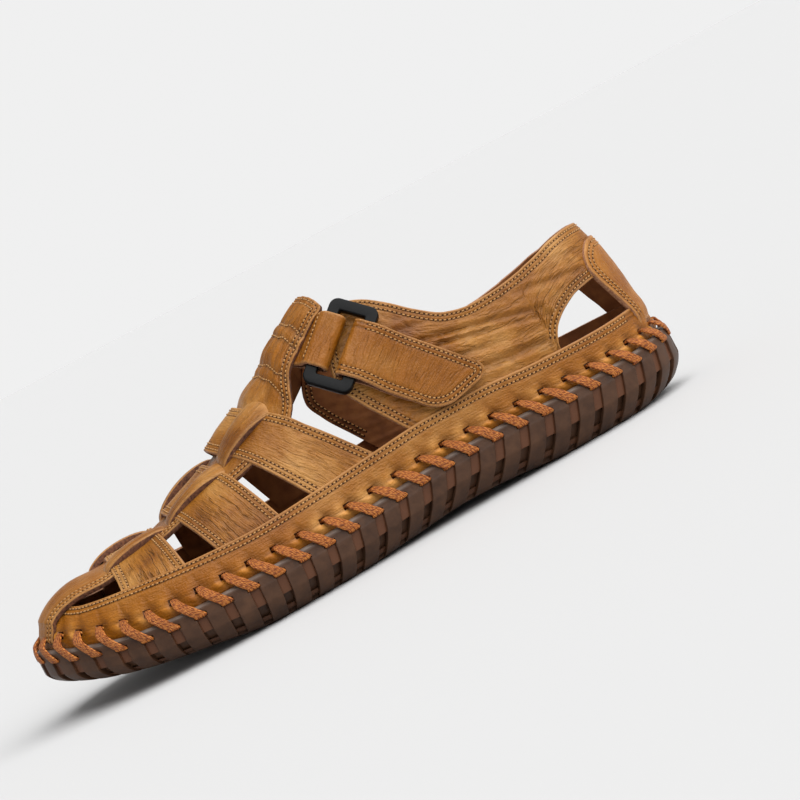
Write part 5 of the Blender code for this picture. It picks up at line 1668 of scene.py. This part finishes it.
def fold(path, wide, towards, end, across):
    """Points of a strap round a ring bar: path rows are the way from the bar and the height over the skin.

    towards is 1 on the side of the strap and -1 on that of the tab. end is 1 where the path starts at a free
    end, which is cut slantwise and turned up, and otherwise 0.
    """
    path = np.array(path, float)
    run = lengths(path)
    marks = run[-1] * spread(run[-1], True, False, 0.9)
    away, height = smooth(run, path[:, 0])(marks), smooth(run, path[:, 1])(marks)
    away, height, across = away[:, None], height[:, None], np.asarray(across)[None, :] * wide / 2
    spare = np.clip(np.abs(across) - wide / 2 + END_CORNER, 0, END_CORNER)
    upward = np.sign(RING_LONG[2])
    corner = END_CORNER - np.sqrt(END_CORNER ** 2 - spare ** 2)
    cut_off = end * (corner + END_SLANT * (0.5 - upward * across / wide))
    away = away - cut_off * np.clip((away - END_FROM) / (STRAP_END - END_FROM), 0, 1)
    across = across + end * upward * TURN_UP * np.maximum(away, 0.0)
    plane = RING_AT - RING_OUT * RING["lift"] + RING_LONG * across[..., None]
    plane = plane + RING_SHORT * towards * (BAR_AWAY + away)[..., None]
    skin = drop_to_skin(plane)
    mix = ease(*SETTLE, away)[..., None]
    way = RING_OUT * (1 - mix) + skin_way(skin) * mix
    return plane * (1 - mix) + skin * mix + way * height[..., None]


def loop_ways(grid):
    """Normals of a folded strap that point away from the bar it turns round."""
    ways = unit(np.cross(np.gradient(grid, axis=0), np.gradient(grid, axis=1)))
    return ways if ways[1, grid.shape[1] // 2] @ RING_OUT > 0 else -ways


def make_closure():
    """Hook-and-loop strap from the quarter through the ring and back over itself, and the tab of the ring."""
    bar, rise = RING["bar"] / 2 + GAP + FOLD_SLACK, RING["thick"] / 2 + GAP
    mid = RING["lift"]
    loop = ((1.6, mid + rise), (1.2 - bar, mid + rise), (-bar, mid + rise * 0.5), (-bar, mid - rise * 0.5),
            (1.2 - bar, mid - rise), (1.6, mid - rise))
    across = 2 * spread(STRAP_WIDTH, step=1.0) - 1
    grid = fold(STRAP_OVER + loop + STRAP_UNDER, STRAP_WIDTH, 1.0, 1.0, across)
    fine = wrinkles(grid[..., 0], grid[..., 2], 5.0)
    sheet = leather_sheet(grid, STRAP_THICK + 0.1 + 0.08 * fine, STRAP_THICK, way=loop_ways(grid),
                          sewn=("low", "first", "last"), rows_at=DOUBLE_ROW, lengthwise=False)
    # wrinkles are painted paler on top and darker between them, painted light and shade on the relief
    leather_piece("hook_and_loop_strap", sheet, CLOSURE_HIDE, "closure_strap",
                  {"shade": 0.07 * fine, "burnish": 0.55 + 0 * fine, "crumple": 0.3 + 0 * fine})
    lines = []
    for away in DOUBLE_ROW:
        lines.append(sew_line(sheet, "low", away))
        lines += [sew_line(sheet, side, away, 0.0, 0.52) for side in ("first", "last")]
    sew("hook_and_loop_strap_stitches", lines, "closure_strap")
    grid = fold(TAB_OVER + loop + TAB_UNDER, TAB_WIDTH, -1.0, 0.0, across)
    sheet = leather_sheet(grid, STRAP_THICK, STRAP_THICK, way=loop_ways(grid), sewn=("low",),
                          rows_at=(TAB_ROW,), lengthwise=False)
    plain = np.zeros(grid.shape[:2])
    leather_piece("ring_tab_fold", sheet, CLOSURE_HIDE, "ring_tab",
                  {"burnish": plain + 0.7, "crumple": plain + 0.3})
    sew("ring_tab_stitches", [sew_line(sheet, "low", TAB_ROW, 0.06, 0.94)], "ring_tab")


# ring: outer radius of its corners, their least radius, and how square its section is
RING_CORNER, RING_CORNER_LEAST, RING_SQUARE = 3.6, 0.8, 0.22
# points of each corner, and points round the section
CORNER_POINTS, SECTION_POINTS = 12, 24


def make_ring():
    """Flat rectangular ring with rounded corners and edges."""
    long, short, thick = RING["long"] / 2, RING["short"] / 2, RING["thick"] / 2
    turn = np.linspace(0, np.pi / 2, CORNER_POINTS)
    rings = []
    for angle in np.linspace(0, 2 * np.pi, SECTION_POINTS, endpoint=False):
        across = np.sign(np.cos(angle)) * np.abs(np.cos(angle)) ** RING_SQUARE
        height = np.sign(np.sin(angle)) * np.abs(np.sin(angle)) ** RING_SQUARE
        grow = (across - 1) * RING["bar"] / 2
        bend = max(RING_CORNER + grow, RING_CORNER_LEAST)
        loop = []
        for quarter, (along, aside) in enumerate(((1, 1), (-1, 1), (-1, -1), (1, -1))):
            cx, cy = (long + grow - bend) * along, (short + grow - bend) * aside
            loop += [(cx + bend * np.cos(a), cy + bend * np.sin(a)) for a in turn + quarter * np.pi / 2]
        u, v = np.array(loop).T
        rings.append(RING_AT + RING_LONG * u[:, None] + RING_SHORT * v[:, None] + RING_OUT * height * thick)
    verts = np.stack(rings)
    faces = closed_quads(*verts.shape[:2])
    outward = np.cross(verts[0, 1] - verts[0, 0], verts[1, 0] - verts[0, 0])
    if outward @ (verts[0, 0] - RING_AT) < 0:
        faces = faces[:, ::-1]
    add_piece("ring_loop", verts.reshape(-1, 3), faces, [BLACK_STEEL], "ring", crisp=60.0)


make_outsole()
make_insole()
make_rand()
make_quarter()
make_counter()
make_band()
make_straps()
make_strips()
make_lacing()
make_closure()
make_ring()


# radii of the floor's rings in metres, and the points on each
FLOOR_RADII, FLOOR_POINTS = (0.5, 1.5, 6.0, 40.0), 96


def make_stage():
    """Wide sheet of pale grey paper, which the light makes as pale as the tent behind it."""
    finish, tree, shader = new_finish("matt_grey_paper", {"Base Color": tint("#bfbfbf"), "Roughness": 0.9,
                                                          "Specular IOR Level": 0.2})
    grain = add_node(tree, "ShaderNodeTexNoise", {"Scale": per(6.0), "Detail": 2.0})
    skin = add_node(tree, "ShaderNodeBump", {"Height": grain.outputs["Fac"], "Strength": 0.03,
                                             "Distance": 0.2 * MM})
    tree.links.new(skin.outputs[0], shader.inputs["Normal"])
    turn = np.linspace(0, 2 * np.pi, FLOOR_POINTS, endpoint=False)
    verts = [(r * math.cos(a), r * math.sin(a), 0.0) for r in FLOOR_RADII for a in turn]
    faces = grid_quads(len(FLOOR_RADII), FLOOR_POINTS, True)[:, ::-1].tolist() + [list(range(FLOOR_POINTS))]
    mesh = bpy.data.meshes.new("paper_floor")
    mesh.from_pydata(verts, [], faces)
    mesh.materials.append(finish)
    floor = bpy.data.objects.new("paper_floor", mesh)
    bpy.context.scene.collection.objects.link(floor)


# the view of the photograph in degrees: turn toward the toe, rise over the floor, the two parts of its roll
VIEW_TURN, VIEW_RISE, VIEW_ROLL, VIEW_TILT = 10.0, 4.5, 1.25, 29.0
# distance of the camera in millimetres, its focal length and the frame's width in pixels, the sensor's in mm
VIEW_AWAY, VIEW_FOCUS, FRAME_WIDTH, SENSOR_WIDTH = 1000.0, 2465.0, 800.0, 36.0
# what the camera looks at, in millimetres of the shoe
VIEW_TARGET = (112.016, -0.30, 49.01)

# light: sines of the heights between which the tent fades, its strength below and above, and the lamp
TENT_EDGE, TENT_LOW, TENT_HIGH = (0.20, 0.42), 0.87, 0.36
LAMP_POWER, LAMP_SPREAD, LAMP_WAY = 4.6, 80.0, (0.40, -0.36, -0.84)


def make_camera():
    """Camera at the photograph's angle to the shoe."""
    turn, rise = math.radians(VIEW_TURN), math.radians(VIEW_RISE)
    roll, tilt = math.radians(VIEW_ROLL), math.radians(VIEW_TILT)
    look = -Vector((math.sin(turn) * math.cos(rise), math.cos(turn) * math.cos(rise), math.sin(rise)))
    right = look.cross(Vector((0, 0, 1))).normalized()
    up = right.cross(look)
    level = right * math.cos(roll) + up * math.sin(roll)
    plumb = up * math.cos(roll) - right * math.sin(roll)
    across = level * math.cos(tilt) - plumb * math.sin(tilt)
    upright = level * math.sin(tilt) + plumb * math.cos(tilt)
    target = (Vector(VIEW_TARGET) - Vector((LENGTH / 2, MIDDLE_Y, 0.0))) * MM
    lens = bpy.data.cameras.new("photo_view")
    lens.sensor_fit = "HORIZONTAL"
    lens.sensor_width = SENSOR_WIDTH
    lens.lens = VIEW_FOCUS * SENSOR_WIDTH / FRAME_WIDTH
    lens.clip_start, lens.clip_end = 0.05, 100.0
    camera = bpy.data.objects.new("photo_view", lens)
    place = target - look * VIEW_AWAY * MM
    axes = Matrix((across, upright, -look)).transposed().to_4x4()
    camera.matrix_world = Matrix.Translation(place) @ axes
    bpy.context.scene.collection.objects.link(camera)
    bpy.context.scene.camera = camera


def make_light():
    """Pale tent that is brightest near the floor, and one broad lamp above the heel, soft as a large box."""
    world = bpy.data.worlds.new("pale_tent")
    bpy.context.scene.world = world
    world.use_nodes = True
    tree = world.node_tree
    way = add_node(tree, "ShaderNodeTexCoord", {}).outputs["Generated"]
    height = add_node(tree, "ShaderNodeSeparateXYZ", {0: way}).outputs[2]
    tent = add_node(tree, "ShaderNodeMapRange", {"Value": height, "From Min": TENT_EDGE[0],
                                                 "From Max": TENT_EDGE[1], "To Min": TENT_LOW,
                                                 "To Max": TENT_HIGH}, interpolation_type="SMOOTHSTEP")
    tree.links.new(tent.outputs[0], tree.nodes["Background"].inputs["Strength"])
    tree.nodes["Background"].inputs["Color"].default_value = tint("#ffffff")
    lamp = bpy.data.lights.new("softbox", "SUN")
    lamp.energy = LAMP_POWER
    lamp.angle = math.radians(LAMP_SPREAD)
    softbox = bpy.data.objects.new("softbox", lamp)
    softbox.rotation_euler = Vector(LAMP_WAY).to_track_quat("-Z", "Y").to_euler()
    bpy.context.scene.collection.objects.link(softbox)
    bpy.context.scene.view_settings.view_transform = "Standard"


make_stage()
make_camera()
make_light()

bpy.context.view_layer.update()
